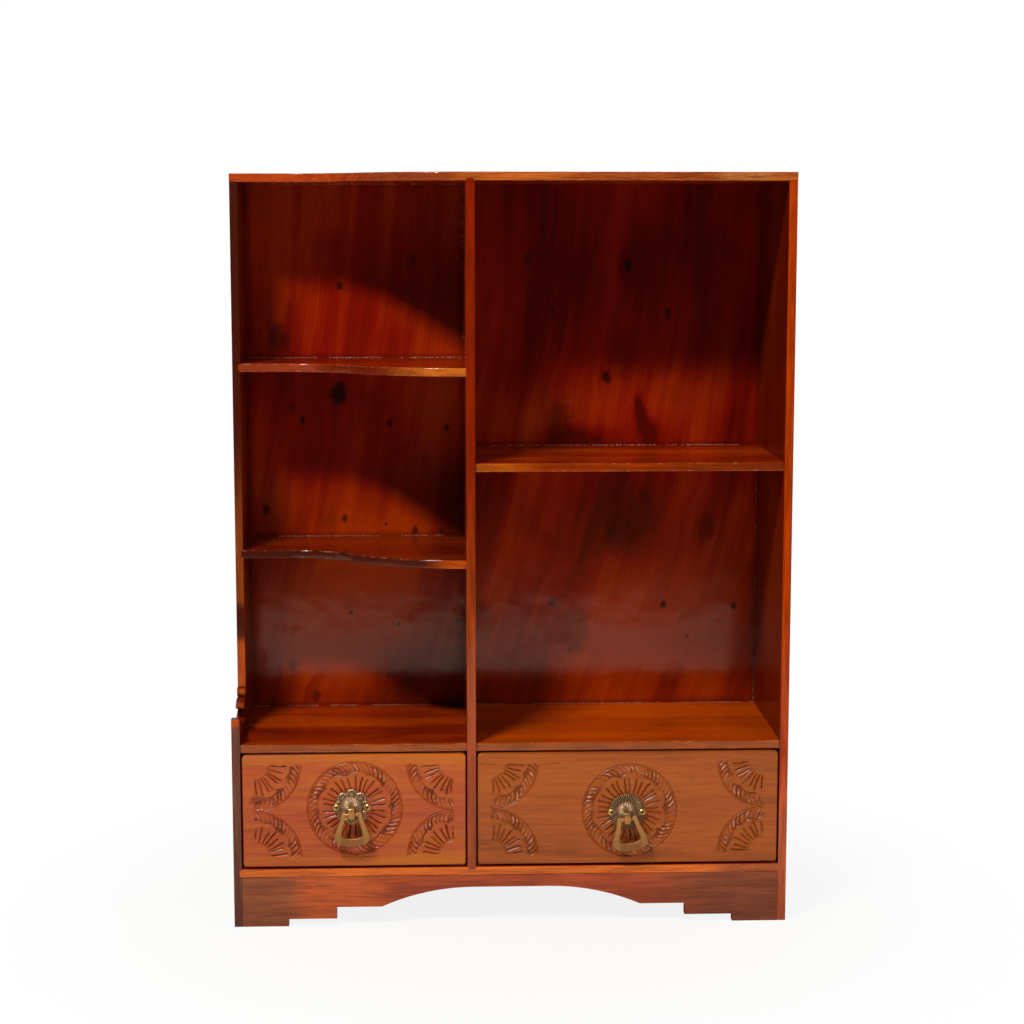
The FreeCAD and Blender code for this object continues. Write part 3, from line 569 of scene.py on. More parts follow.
def carved_wood(name, tones, seed, pooled, golden, knots=()):
    """The finish of a carved drawer front, dark where varnish pooled in the deep cuts."""
    wood = settings("shelf_wood")
    dark, red, light = tones
    f = Finish(name)
    grain = Grain(f, "X", seed, lean=0.012, knots=knots)
    mixed = f.add(f.times(grain.broad(30.0), 0.42), f.times(grain.rings(150.0), 0.18))
    mixed = f.add(mixed, f.times(grain.fibre(520.0), 0.40))
    mixed = f.add(f.times(mixed, 0.62), 0.16)
    shade = f.ramp(mixed, [(0.08, dark), (0.45, red), (0.92, light)])
    for low, high, share in golden:
        gold = f.times(f.remap(f.place()[2], low, high), share)
        gold = f.times(gold, f.remap(grain.broad(20.0), 0.2, 0.8, 0.35, 1.0))
        shade = f.blend(gold, shade, light)
    pores = grain.pores(1700.0)
    shade = f.blend(f.times(pores, 0.75), shade, dark)
    shade = f.blend(f.times(grain.knot, 0.75), shade, wood.carved)
    shade = f.blend(f.times(f.attribute("field"), 0.10), shade, dark)
    cut = f.attribute("carved")
    shade = f.blend(f.remap(cut, 0.16, 0.90, 0.0, pooled), shade, wood.carved)
    # Pale tone on the rope bands' ridges: rubbed wear, and painted highlight.
    patchy = f.remap(f.noise(f.coordinates(), 230.0, 3.0), 0.48, 0.62, 0.0, 0.75)
    shade = f.blend(f.times(f.attribute("ridge"), patchy), shade, RUBBED_RIDGE_AND_HIGHLIGHT)
    f.set(Base_Color=shade)
    varnish(f, f.add(grain.fibre(900.0), f.times(pores, -0.8)), 0.42, 0.30, 0.45)
    return f.material


def box_wood(name, along, seed):
    """The plain, thinly oiled wood of a drawer box."""
    wood = settings("shelf_wood")
    f = Finish(name)
    grain = Grain(f, along, seed)
    mixed = f.add(f.times(grain.broad(), 0.4), f.times(grain.rings(240.0), 0.35))
    mixed = f.add(mixed, f.times(grain.fibre(), 0.25))
    shade = f.ramp(mixed, [(0.15, wood.box_dark), (0.85, wood.box_light)])
    shade = f.blend(f.times(grain.pores(), 0.6), shade, wood.box_dark)
    if along == "Y":
        shade = f.blend(f.remap(f.facing("Y"), -0.95, -0.5, 0.9, 0.0), shade, wood.carved)
    f.set(Base_Color=shade, Roughness=f.remap(mixed, 0.0, 1.0, 0.62, 0.5), Specular_IOR_Level=0.35)
    f.set(Normal=f.bump(grain.fibre(), 0.2 * MM, 0.7))
    return f.material


def aged_brass(name, high, low, wear_and_painted_light=None, roughness=0.34):
    """Brass with patina: dark in hollows, bright where hands and time rub it, and bright as painted light on
    the tops of the bails and hooks.
    """
    f = Finish(name)
    place = f.coordinates()
    cloud = f.remap(f.noise(place, 420.0, 4.0, 0.6), 0.34, 0.66)
    if wear_and_painted_light is None:
        share = f.remap(cloud, 0.0, 1.0, 0.55, 1.0)
    else:
        share = f.times(f.remap(f.attribute(wear_and_painted_light), 0.10, 0.85), f.remap(cloud, 0.0, 0.7, 0.72, 1.0))
    f.set(Base_Color=f.blend(share, low, high), Metallic=0.82)
    f.set(Roughness=f.remap(share, 0.0, 1.0, roughness + 0.20, roughness - 0.06))
    scratch = f.noise(place, 2600.0, 2.0)
    f.set(Normal=f.bump(scratch, 0.06 * MM, 0.5))
    return f.material


def plain_steel(name):
    """Dull steel with a few rust freckles."""
    pulls = settings("shelf_pulls")
    f = Finish(name)
    place = f.coordinates()
    rust = f.remap(f.noise(place, 700.0, 4.0, 0.65), 0.60, 0.72)
    f.set(Base_Color=f.blend(f.times(rust, 0.8), pulls.steel, RUST))
    f.set(Metallic=f.remap(rust, 0.0, 1.0, 0.95, 0.2), Roughness=f.remap(rust, 0.0, 1.0, 0.38, 0.75))
    f.set(Normal=f.bump(f.noise(place, 1900.0, 3.0), 0.05 * MM, 0.6))
    return f.material


# Mesh helpers
def piece(name, mesh, body, slot, material, *nodes):
    """Links a finished mesh as a piece that rides on a body and stands for CAD nodes."""
    made = bpy.data.objects.new(name, mesh)
    bpy.context.scene.collection.objects.link(made)
    mesh.materials.clear()
    mesh.materials.append(material)
    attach(made, body)
    if nodes:
        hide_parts(*nodes)
    return made


def dress(node, material):
    """Gives a CAD node its finish."""
    slots = NODES[node].data.materials
    slots.clear()
    slots.append(material)


def smooth_copy(node, name, body, slot, material, angle=32.0):
    """Stands a merged, smooth-shaded copy in for a CAD node with curved faces."""
    mesh = NODES[node].data.copy()
    mesh.name = name
    work = bmesh.new()
    work.from_mesh(mesh)
    bmesh.ops.remove_doubles(work, verts=work.verts, dist=0.002 * MM)
    work.to_mesh(mesh)
    work.free()
    shade_smooth(mesh, angle)
    keep_flats_flat(mesh)
    return piece(name, mesh, body, slot, material, node)


def keep_flats_flat(mesh, tilt=math.radians(0.5)):
    """Marks the rims of a board's flat faces sharp, so that its rounded edges don't shade them."""
    work = bmesh.new()
    work.from_mesh(mesh)
    for edge in work.edges:
        normals = [face.normal for face in edge.link_faces]
        flat = any(max(abs(part) for part in normal) > 0.99999 for normal in normals)
        if flat and edge.calc_face_angle(0.0) > tilt:
            edge.smooth = False
    work.to_mesh(mesh)
    work.free()


def shade_smooth(mesh, angle=35.0):
    """Smooth shading, with edges sharper than the angle kept crisp."""
    mesh.polygons.foreach_set("use_smooth", [True] * len(mesh.polygons))
    mesh.set_sharp_from_angle(angle=math.radians(angle))


def mesh_from(name, points, faces, angle=35.0):
    """A mesh from points and faces, with its doubles merged and its faces turned outwards."""
    mesh = bpy.data.meshes.new(name)
    mesh.from_pydata([tuple(p) for p in points], [], faces)
    work = bmesh.new()
    work.from_mesh(mesh)
    bmesh.ops.remove_doubles(work, verts=work.verts, dist=0.001 * MM)
    bmesh.ops.recalc_face_normals(work, faces=work.faces)
    work.to_mesh(mesh)
    work.free()
    shade_smooth(mesh, angle)
    return mesh


def grid_faces(index):
    """The quads of a grid of vertex numbers."""
    corners = [index[:-1, :-1], index[:-1, 1:], index[1:, 1:], index[1:, :-1]]
    return np.stack(corners, axis=-1).reshape(-1, 4).tolist()


def tube_faces(rings, count):
    """The walls and end caps of a tube whose rings of points follow one another."""
    faces = []
    for row in range(rings - 1):
        low = row * count
        for i in range(count):
            j = (i + 1) % count
            faces.append((low + i, low + j, low + count + j, low + count + i))
    last = (rings - 1) * count
    faces.append(tuple(range(count)))
    faces.append(tuple(range(last + count - 1, last - 1, -1)))
    return faces


def turned(profile, count, centre):
    """Points and faces of a profile of (radius, out) turned about the Y axis through a centre."""
    points = []
    for radius, out in profile:
        for i in range(count):
            turn = math.tau * i / count
            points.append(centre + Vector((radius * math.sin(turn), -out, radius * math.cos(turn))))
    return points, tube_faces(len(profile), count)


def join_parts(parts):
    """Several lists of points and faces as one."""
    points = []
    faces = []
    for more_points, more_faces in parts:
        first = len(points)
        points.extend(more_points)
        faces.extend(tuple(first + i for i in face) for face in more_faces)
    return points, faces


def vertex_places(mesh):
    """The places of a mesh's vertices, one row each."""
    return np.array([vertex.co for vertex in mesh.vertices])


def store(mesh, name, values):
    """Keeps one number per vertex for the finish to read."""
    layer = mesh.attributes.new(name, "FLOAT", "POINT")
    layer.data.foreach_set("value", np.asarray(values, np.float32))


def evaluated_mesh(holder, name):
    """The plain mesh that a Geometry Nodes holder makes, with the holder removed."""
    bpy.context.view_layer.update()
    graph = bpy.context.evaluated_depsgraph_get()
    mesh = bpy.data.meshes.new_from_object(holder.evaluated_get(graph))
    mesh.name = name
    holder.modifiers.clear()
    bpy.data.objects.remove(holder)
    return mesh


class Repeat:
    """A Geometry Nodes tree with named inputs, and the object that it works on."""

    KINDS = {"int": "NodeSocketInt", "length": "NodeSocketFloat", "vector": "NodeSocketVector",
             "material": "NodeSocketMaterial"}

    def __init__(self, name, mesh):
        self.tree = bpy.data.node_groups.new(name, "GeometryNodeTree")
        self.face = self.tree.interface
        self.face.new_socket("Geometry", in_out="INPUT", socket_type="NodeSocketGeometry")
        self.face.new_socket("Geometry", in_out="OUTPUT", socket_type="NodeSocketGeometry")
        self.values = {}
        self.inlet = self.tree.nodes.new("NodeGroupInput")
        self.outlet = self.tree.nodes.new("NodeGroupOutput")
        self.holder = bpy.data.objects.new(name, mesh)
        bpy.context.scene.collection.objects.link(self.holder)

    def input(self, name, kind, value):
        """A named input of the tree, with the value that the modifier gets."""
        made = self.face.new_socket(name, in_out="INPUT", socket_type=self.KINDS[kind])
        self.values[made.identifier] = value
        return self.inlet.outputs[name]

    def node(self, kind, fields=None, **links):
        """A node with its fields set and its inputs, named with underscores, linked or set."""
        made = self.tree.nodes.new(kind)
        for key, value in (fields or {}).items():
            setattr(made, key, value)
        for key, value in links.items():
            socket = made.inputs[key.replace("_", " ")]
            if isinstance(value, bpy.types.NodeSocket):
                self.tree.links.new(value, socket)
            else:
                socket.default_value = value
        return made

    def finish(self, geometry, material, mesh_name):
        """Realizes the instances, sets their material and returns the plain mesh."""
        real = self.node("GeometryNodeRealizeInstances", Geometry=geometry)
        painted = self.node("GeometryNodeSetMaterial", Geometry=real.outputs[0],
                            Material=self.input("Material", "material", material))
        self.tree.links.new(painted.outputs[0], self.outlet.inputs[0])
        modifier = self.holder.modifiers.new("Repeat", "NODES")
        modifier.node_group = self.tree
        for identifier, value in self.values.items():
            modifier[identifier] = value
        return evaluated_mesh(self.holder, mesh_name)


# Places from the frame
def front_centre(side):
    """The middle of a drawer front's face."""
    low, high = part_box(side + "_drawer_front")
    return Vector(((low.x + high.x) / 2, low.y, (low.z + high.z) / 2))


def pull_centre(side):
    """The middle of a rosette, on the drawer front's face."""
    low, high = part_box(side + "_pull_rosette")
    return Vector(((low.x + high.x) / 2, high.y, (low.z + high.z) / 2))


def swing_axis(side):
    """The bail's pivot and the direction of its bar."""
    joint = next(j for j in frame["joints"] if j["name"] == side + "_bail_swing")
    bar = -Vector(joint["axis"]).normalized()
    centre = pull_centre(side)
    return centre + Vector((0.0, -PIVOT_STANDOFF, -BAR_DROP)), bar


# Carving
def carve_cut(distance, half_width):
    """How deep a V cut is at a distance from its line, from 0 to 1."""
    return np.clip(1.0 - np.abs(distance) / half_width, 0.0, 1.0)


def smooth_window(value, low, high, ease):
    """1 between two ends, with eased ends."""
    rise = np.clip((value - low) / ease, 0.0, 1.0)
    fall = np.clip((high - value) / ease, 0.0, 1.0)
    both = np.minimum(rise, fall)
    return both * both * (3.0 - 2.0 * both)


def hand_phase(rng):
    """A random start for a wave of the carver's hand."""
    return rng.uniform(0, 6)


def scalloped_border(turn, lobes, rng):
    """The reach of the scalloped border inside a rope band."""
    c = settings("shelf_carving")
    uneven = 0.30 * np.sin(2.0 * turn + hand_phase(rng)) + 0.22 * np.sin(5.0 * turn + hand_phase(rng))
    lobe_wave = np.abs(np.cos(lobes * turn / 2 + uneven))
    return c.scallop - c.scallop_dip * (1.0 - np.sqrt(lobe_wave))


def rope_band(reach, turn, border, leaves, rng):
    """Depth and darkness between the slanted leaves of a rope band, and where the band lies."""
    c = settings("shelf_carving")
    middle = (c.band_in + c.band_out) / 2
    half = (c.band_out - c.band_in) / 2
    outward = np.clip((reach - middle) / half, -1.0, 1.0)
    slant = LEAF_SLANT * outward + LEAF_CURL * outward ** 2
    slot = leaves * turn / math.tau + slant + 0.25 * np.sin(3.0 * turn + hand_phase(rng))
    number = np.floor(slot)
    aside = np.abs(2.0 * (slot - number) - 1.0) * (1.06 + 0.14 * np.sin(2.7 * number))
    shift = outward + 0.24 * np.sin(1.9 * number)
    pillow = np.clip(1.0 - aside ** 1.6 - 0.7 * np.abs(shift) ** 3, 0.0, 1.0)
    inside = smooth_window(reach, border + 0.4 * c.line, c.band_out, 1.2 * c.line)
    rope = inside * (ROPE_SHARE + ROPE_UNEVEN * np.sin(5.3 * number)) * (1.0 - LEAF_ROUNDING * pillow)
    return rope, rope * (0.98 - 0.25 * outward), inside


def flute_cut(reach, turn, angle, share, span, rng):
    """A petal groove in one direction, and the shallow hollow round it."""
    c = settings("shelf_carving")
    bend = 0.012 * np.sin(reach / (2.6 * MM) + hand_phase(rng))
    angle = angle + rng.uniform(-0.045, 0.045) + bend
    off = (turn - angle + span / 2) % span - span / 2 if span == math.tau else turn - angle
    aside = reach * np.sin(np.clip(off, -1.2, 1.2))
    tip = c.hub + (c.scallop - c.scallop_dip * 0.6 - c.hub) * share + rng.uniform(-1.2, 0.4) * MM
    window = smooth_window(reach, c.hub * 0.97, tip, 2.0 * MM) * (np.abs(off) < 1.0)
    width = c.flute * (0.60 + 0.40 * reach / c.scallop)
    groove = window * rng.uniform(0.78, 1.0) * carve_cut(aside, 1.15 * width)
    return groove, HOLLOW_SHARE * window * carve_cut(aside, 2.3 * width)


def carve_wheel(reach, turn, lobes, leaves, flutes, span, rng):
    """Depth and darkness of a medallion or fan in shares of the full cut, and its rope band."""
    c = settings("shelf_carving")
    border = scalloped_border(turn, lobes, rng)
    circle = CIRCLE_SHARE * carve_cut(reach - c.radius, c.line)
    worked = BORDER_SHARE + BORDER_UNEVEN * np.sin(7.0 * turn + hand_phase(rng))
    lines = np.maximum(circle, worked * carve_cut(reach - border, 1.7 * c.line))
    rope, rope_dark, band = rope_band(reach, turn, border, leaves, rng)
    sunk_field = FIELD_SHARE * (reach < border) * (reach > c.hub)
    depth = np.maximum(np.maximum(lines, rope), sunk_field)
    dark = np.maximum(lines, rope_dark)
    for angle, share in flutes:
        groove, hollow = flute_cut(reach, turn, angle, share, span, rng)
        depth = np.maximum(depth, np.maximum(groove, hollow))
        dark = np.maximum(dark, groove)
    return depth, dark, band


def medallion_flutes(lobes):
    """Three grooves on each lobe."""
    pitch = math.tau / lobes
    rows = []
    for i in range(lobes):
        for part, share in ((-0.33, 0.93), (0.0, 1.0), (0.33, 0.93)):
            rows.append(((i + part) * pitch, share))
    return rows


def corner_fan(dx, dz, rng):
    """Depth, darkness, field and rope band of a fan, from the distances to its two straight edges."""
    c = settings("shelf_carving")
    reach = np.hypot(dx, dz)
    turn = np.arctan2(np.abs(dx), np.abs(dz))
    flutes = [((i + 0.5) * math.pi / 2 / FAN_RAYS, 1.0 if i % 2 else 0.88) for i in range(FAN_RAYS)]
    depth, dark, band = carve_wheel(reach, turn, FAN_LOBES, FAN_LEAVES, flutes, math.pi / 2, rng)
    arc = HUB_ARC_SHARE * carve_cut(reach - c.hub, 1.4 * c.line)
    ragged = (1.0 + 0.8 * np.sin(reach / (1.7 * MM) + hand_phase(rng))) * MM
    near_edge = smooth_window(np.minimum(dx, dz), ragged - 1.2 * MM, 1.0, 1.6 * MM)
    kept = near_edge * (reach < c.radius + 2 * c.line)
    depth, dark = (kept * np.where(reach < c.hub, arc, np.maximum(cut, arc)) for cut in (depth, dark))
    field = kept * (reach > c.hub) * (reach < c.radius)
    return depth, dark, field, kept * band


def scribed_line(x, z, start, end, height, dip, share):
    """The depth of one scribed line or crack, whose places are in millimetres."""
    run = np.clip((x / MM - start) / (end - start), 0.0, 1.0)
    line = (height + dip * np.sin(math.pi * run)) * MM
    kept = (x / MM > start) & (x / MM < end)
    return share * kept * carve_cut(z - line, SCRIBE_HALF)


def carving(x, z, side):
    """Cut depth over a drawer front in shares of the deepest cut, its darkness, fields and bands."""
    c = settings("shelf_carving")
    rng = np.random.default_rng(CARVER_SEED[side])
    aside, lift = MEDALLION_SHIFT[side]
    reach = np.hypot(x - aside, z - lift)
    turn = np.arctan2(x - aside, z - lift) % math.tau
    wheel = carve_wheel(reach, turn, c.lobes, c.leaves, medallion_flutes(c.lobes), math.tau, rng)
    depth, dark, band = (np.where(reach < c.radius + 2 * c.line, cut, 0.0) for cut in wheel)
    field = 1.0 * (reach < c.radius)
    low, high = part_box(side + "_drawer_front")
    half_field = (high.x - low.x) / 2 - FAN_INSET[side]
    for right in (-1.0, 1.0):
        for up in (-1.0, 1.0):
            fan = corner_fan((right * half_field - x) * right, (up * c.radius - z) * up, rng)
            depth, dark, field, band = map(np.maximum, (depth, dark, field, band), fan)
    for line in FRONT_LINES[side]:
        scribed = scribed_line(x, z, *line)
        depth = np.maximum(depth, scribed)
        dark = np.maximum(dark, scribed)
    return depth, dark, field, band


def rounded_grid(half_x, half_z, columns, rows):
    """X and Z over a drawer front's face, drawn in round its corners."""
    x, z = np.meshgrid(np.linspace(-half_x, half_x, columns + 1), np.linspace(-half_z, half_z, rows + 1))
    over_x = np.abs(x) - (half_x - FRONT_CORNER)
    over_z = np.abs(z) - (half_z - FRONT_CORNER)
    in_corner = (over_x > 0) & (over_z > 0)
    square = np.maximum(over_x, over_z)
    pull_in = np.where(in_corner, square / np.maximum(np.hypot(over_x, over_z), 1e-9), 1.0)
    x = np.where(in_corner, np.sign(x) * (half_x - FRONT_CORNER + over_x * pull_in), x)
    z = np.where(in_corner, np.sign(z) * (half_z - FRONT_CORNER + over_z * pull_in), z)
    return x, z


def eased_edge(x, z, half_x, half_z):
    """How far the face of a drawer front rolls back near its rim."""
    over_x = np.maximum(np.abs(x) - (half_x - FRONT_CORNER), 0.0)
    over_z = np.maximum(np.abs(z) - (half_z - FRONT_CORNER), 0.0)
    edge = FRONT_CORNER - np.hypot(over_x, over_z)
    rim = np.clip(FRONT_EASE - edge, 0.0, FRONT_EASE)
    return FRONT_EASE - np.sqrt(FRONT_EASE ** 2 - rim ** 2)


def carved_front_mesh(side):
    """A drawer front: a carved face with rounded corners and eased edges, and a back with rebated ends."""
    c = settings("shelf_carving")
    low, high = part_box(side + "_drawer_front")
    half_x = (high.x - low.x) / 2
    half_z = (high.z - low.z) / 2
    step = c.step if side == "left" else RIGHT_STEP * c.step
    columns = round((high.x - low.x) / step)
    rows = round((high.z - low.z) / step)
    x, z = rounded_grid(half_x, half_z, columns, rows)
    depth, dark, field, band = carving(x, z, side)
    centre = front_centre(side)
    y = low.y + eased_edge(x, z, half_x, half_z) + depth * c.depth
    points = np.stack([x + centre.x, y, z + centre.z], axis=-1).reshape(-1, 3)
    index = np.arange((rows + 1) * (columns + 1)).reshape(rows + 1, columns + 1)
    loop = list(index[0, :-1]) + list(index[:-1, -1]) + list(index[-1, :0:-1]) + list(index[:0:-1, 0])
    back_points, back_faces = rebated_back(points, [int(i) for i in loop], side)
    mesh = bpy.data.meshes.new(side + "_carved_front")
    mesh.from_pydata(points.tolist() + back_points, [], grid_faces(index) + back_faces)
    shade_smooth(mesh, 50.0)
    around = sum(np.roll(depth, by, axis) for by in (-2, 2) for axis in (0, 1)) / 4
    ridge = band * np.clip(3.0 * (around - depth) - 0.2, 0.0, 1.0)
    for name, values in (("carved", dark), ("field", field), ("ridge", ridge)):
        store(mesh, name, np.concatenate([values.reshape(-1), np.zeros(len(back_points))]))
    return mesh


def rebated_back(points, loop, side):
    """The walls and back behind a carved face's rim, with a rebate at each end for the drawer sides."""
    left_low, left_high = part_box(side + "_drawer_left_side")
    tongue = (left_high.x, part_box(side + "_drawer_right_side")[0].x)
    lap_y = left_low.y
    back_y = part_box(side + "_drawer_front")[1].y
    first = len(points)
    made = []
    zones = []
    for i in loop:
        x, _, z = points[i]
        zone = 0 if x < tongue[0] else 1 if x < tongue[1] else 2
        zones.append(zone)
        made.append((x, back_y if zone == 1 else lap_y, z))
    faces = []
    outlines = ([], [], [])
    steps = {0: [], 2: []}
    count = len(loop)
    for i in range(count):
        j = (i + 1) % count
        wall = [loop[j], loop[i], first + i, first + j]
        outlines[zones[i]].append(first + i)
        if zones[i] != zones[j]:
            end, deep = (zones[i], j) if zones[j] == 1 else (zones[j], i)
            x = tongue[end // 2]
            made[deep] = (x, back_y, made[deep][2])
            shoulder = first + len(made)
            made.append((x, lap_y, made[deep][2]))
            wall.insert(3, shoulder)
            outlines[end].append(shoulder)
            steps[end].append((shoulder, first + deep))
        faces.append(wall)
    for end, ((near, near_deep), (far, far_deep)) in steps.items():
        step = [near, near_deep, far_deep, far]
        faces.append(step if end == 2 else step[::-1])
    return made, faces + [outline[::-1] for outline in outlines]


# Pulls
def dome_out(reach, dome, skirt_out):
    """How far a shallow dome stands out at a reach from its axis."""
    rise = DOME_CROWN - skirt_out
    ball = (dome ** 2 + rise ** 2) / (2 * rise)
    return DOME_CROWN - ball + np.sqrt(np.maximum(ball ** 2 - np.minimum(reach, dome) ** 2, 0.0))


def shell_offset(p, turn):
    """How far a direction turns away from the middle of its shell."""
    pitch = math.tau / p.lobes
    return (turn + pitch / 2) % pitch - pitch / 2


def shell_place(p, reach, off):
    """The distance from a shell's middle, and the direction round it."""
    along = reach * np.cos(off) - (p.rosette - SHELL)
    aside = reach * np.sin(off)
    return np.hypot(along, aside), np.arctan2(aside, along)


def ribbed_shells(p, share, turn):
    """The reach and height of the left rosette's ring of shells."""
    off = shell_offset(p, turn)
    at = p.rosette - SHELL
    rim = at * np.cos(off) + np.sqrt(np.maximum(SHELL ** 2 - (at * np.sin(off)) ** 2, 0.0))
    reach = share * rim
    near, around = shell_place(p, reach, off)
    boss = np.sqrt(np.clip(1.0 - (near / SHELL) ** 2, 0.0, 1.0))
    out = p.plate * (0.55 + 0.45 * np.sqrt(boss))
    out = out + SHELL_RIM * carve_cut(near - 0.82 * SHELL, 0.20 * SHELL)
    out = out + SHELL_BOSS * carve_cut(near, 0.50 * SHELL)
    ribs = 0.5 + 0.5 * np.cos(SHELL_RIBS * around)
    out = out - SHELL_RIB * ribs * smooth_window(near, 0.45 * SHELL, 1.2 * SHELL, 0.15 * SHELL)
    return reach, out


def ribbed_cone(p, share, turn, skirt):
    """The reach and height of the right rosette's finely ribbed cone."""
    reach = share * p.rosette * (0.955 + 0.045 * np.abs(np.cos(p.beads * turn / 2)))
    slope = np.clip((p.rosette - reach) / (p.rosette - p.dome), 0.0, 1.0)
    out = p.plate * 0.8 + (skirt - 0.8 * p.plate) * slope
    ribs = 0.5 + 0.5 * np.cos(p.ribs * turn)
    out = out + CONE_RIB * ribs * smooth_window(reach, 0.95 * p.dome, 0.97 * p.rosette, 1.2 * MM)
    return reach, out


def rosette_wear(mesh, side):
    """How much wear each point of a rosette shows: high on ribs and rims, low between them."""
    p = settings("shelf_pulls")
    place = vertex_places(mesh)
    centre = pull_centre(side)
    aside = place[:, 0] - centre.x
    lift = place[:, 2] - centre.z
    reach = np.hypot(aside, lift)
    turn = np.arctan2(aside, lift)
    flutes = 0.5 - 0.5 * np.cos(p.flutes * turn)
    flutes = flutes * smooth_window(reach, 0.1 * p.dome, 1.1 * p.dome, 0.3 * p.dome)
    on_dome = (0.40 if side == "left" else 0.26) + 0.55 * flutes
    if side == "left":
        near, around = shell_place(p, reach, shell_offset(p, turn))
        edge = carve_cut(near - 0.84 * SHELL, 0.24 * SHELL) * (0.75 - 0.25 * np.cos(SHELL_RIBS * around))
        hollow = 0.34 - 0.22 * np.cos(SHELL_RIBS * around)
        on_rim = np.maximum(np.maximum(1.1 * edge, hollow), 0.75 * carve_cut(near, 0.50 * SHELL))
    else:
        on_rim = 0.20 + 0.36 * np.cos(p.ribs * turn)
    return np.where(reach < DOME_EDGE * p.dome, on_dome, on_rim)


def rosette_mesh(side):
    """A pressed rosette: eight ribbed shells round a fluted dome, or a finely ribbed cone with a dome."""
    p = settings("shelf_pulls")
    turns = 540
    rows = 64
    turn, share = np.meshgrid(np.linspace(0, math.tau, turns, endpoint=False), np.linspace(0.0, 1.0, rows))
    skirt = p.plate + 1.0 * MM
    reach, out = ribbed_shells(p, share, turn) if side == "left" else ribbed_cone(p, share, turn, skirt)
    flutes = 0.5 + 0.5 * np.cos(p.flutes * turn)
    dome = dome_out(reach, p.dome, skirt)
    dome = dome - DOME_FLUTE * flutes * smooth_window(reach, 0.16 * p.dome, 1.05 * p.dome, 1.0 * MM)
    ring = DOME_RING * carve_cut(reach - 1.12 * p.dome, 0.9 * MM)
    height = np.where(reach < DOME_EDGE * p.dome, dome, np.maximum(out - ring, 0.5 * MM))
    centre = pull_centre(side)
    face = [centre.x + reach * np.sin(turn), centre.y - height, centre.z + reach * np.cos(turn)]
    points = np.stack(face, axis=-1).reshape(-1, 3)
    index = np.arange(rows * turns).reshape(rows, turns)
    ahead = np.roll(index, -1, axis=1)
    quads = np.stack([index[:-1], index[1:], ahead[1:], ahead[:-1]], axis=-1).reshape(-1, 4)
    rim = index[-1]
    foot = np.arange(len(points), len(points) + turns)
    foot_points = points[rim].copy()
    foot_points[:, 1] = centre.y
    walls = np.stack([rim, foot, np.roll(foot, -1), np.roll(rim, -1)], axis=-1)
    faces = quads.tolist() + walls.tolist() + [foot[::-1].tolist()]
    mesh = mesh_from(side + "_rosette", np.concatenate([points, foot_points]), faces, 60.0)
    store(mesh, "wear_and_painted_light", rosette_wear(mesh, side))
    return mesh


def bead_ring_mesh(side, material):
    """Beads round the rim of a rosette."""
    p = settings("shelf_pulls")
    centre = pull_centre(side)
    ring = Repeat("rim_beads", bpy.data.meshes.new("rim_beads"))
    circle = ring.node("GeometryNodeMeshCircle", Vertices=ring.input("Count", "int", p.beads),
                       Radius=ring.input("Ring radius", "length", p.rosette - BEAD_INSET))
    stood = ring.node("GeometryNodeTransform", Geometry=circle.outputs[0],
                      Translation=ring.input("Centre", "vector", centre - Vector((0, BEAD_LIFT, 0))),
                      Rotation=(math.radians(90), 0.0, 0.0))
    bead = ring.node("GeometryNodeMeshIcoSphere", Subdivisions=2,
                     Radius=ring.input("Bead radius", "length", BEAD))
    rounded = ring.node("GeometryNodeSetShadeSmooth", Geometry=bead.outputs[0])
    dotted = ring.node("GeometryNodeInstanceOnPoints", Points=stood.outputs[0], Instance=rounded.outputs[0])
    return ring.finish(dotted.outputs[0], material, side + "_rim_beads")


def screw_profile():
    """A round-headed screw with a hollow in its crown, from its axis outwards and down to its tip."""
    rise = 1.9 * MM
    shank = 1.2 * MM
    hollow_foot = 0.95 * MM
    hollow_rim = 1.15 * MM
    profile = [(POLE, rise - 1.5 * MM), (hollow_foot, rise - 1.4 * MM), (hollow_rim, rise - 0.05 * MM)]
    for i in range(8):
        angle = math.radians(30 + 60 * i / 8)
        profile.append((SCREW_HEAD * math.sin(angle), rise * math.cos(angle) ** 0.8))
    return profile + [(SCREW_HEAD, 0.0), (shank, 0.0), (shank, -5.5 * MM), (POLE, -6.5 * MM)]


def pull_screws_mesh(side, material):
    """Both screws of a rosette, set by one tree."""
    centre = pull_centre(side)
    low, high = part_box(side + "_pull_screws")
    points, faces = turned(screw_profile(), 28, Vector((0, 0, 0)))
    pair = Repeat("rosette_screws", mesh_from("rosette_screw", points, faces, 50.0))
    spacing = (high.x - low.x) - 2 * SCREW_HEAD
    first = Vector((centre.x - spacing / 2, centre.y - SCREW_SEAT, centre.z))
    line = pair.node("GeometryNodeMeshLine", {"mode": "OFFSET"}, Count=pair.input("Count", "int", 2),
                     Start_Location=pair.input("First screw", "vector", first),
                     Offset=pair.input("Spacing", "vector", Vector((spacing, 0, 0))))
    placed = pair.node("GeometryNodeInstanceOnPoints", Points=line.outputs[0],
                       Instance=pair.inlet.outputs["Geometry"])
    mesh = pair.finish(placed.outputs[0], material, side + "_rosette_screws")
    place = vertex_places(mesh)
    reach = np.hypot(np.abs(place[:, 0] - centre.x) - spacing / 2, place[:, 2] - centre.z)
    store(mesh, "wear_and_painted_light", np.clip((reach - 0.8 * MM) / (0.45 * MM), 0.0, 1.0))
    return mesh


def bail_outline(count):
    """Outer and inner edges of a bail from its left leg's top round the grip to its right leg's top."""
    rows = []
    for edge in (BAIL_OUTER, BAIL_INNER):
        edge = np.array(edge) * MM
        whole = np.concatenate([edge, edge[-2::-1] * (-1, 1)])
        place = np.linspace(0, 1, len(whole))
        fine = np.linspace(0, 1, count)
        rows.append(np.stack([smooth_through(place, whole[:, k], fine) for k in (0, 1)], axis=-1))
    return rows


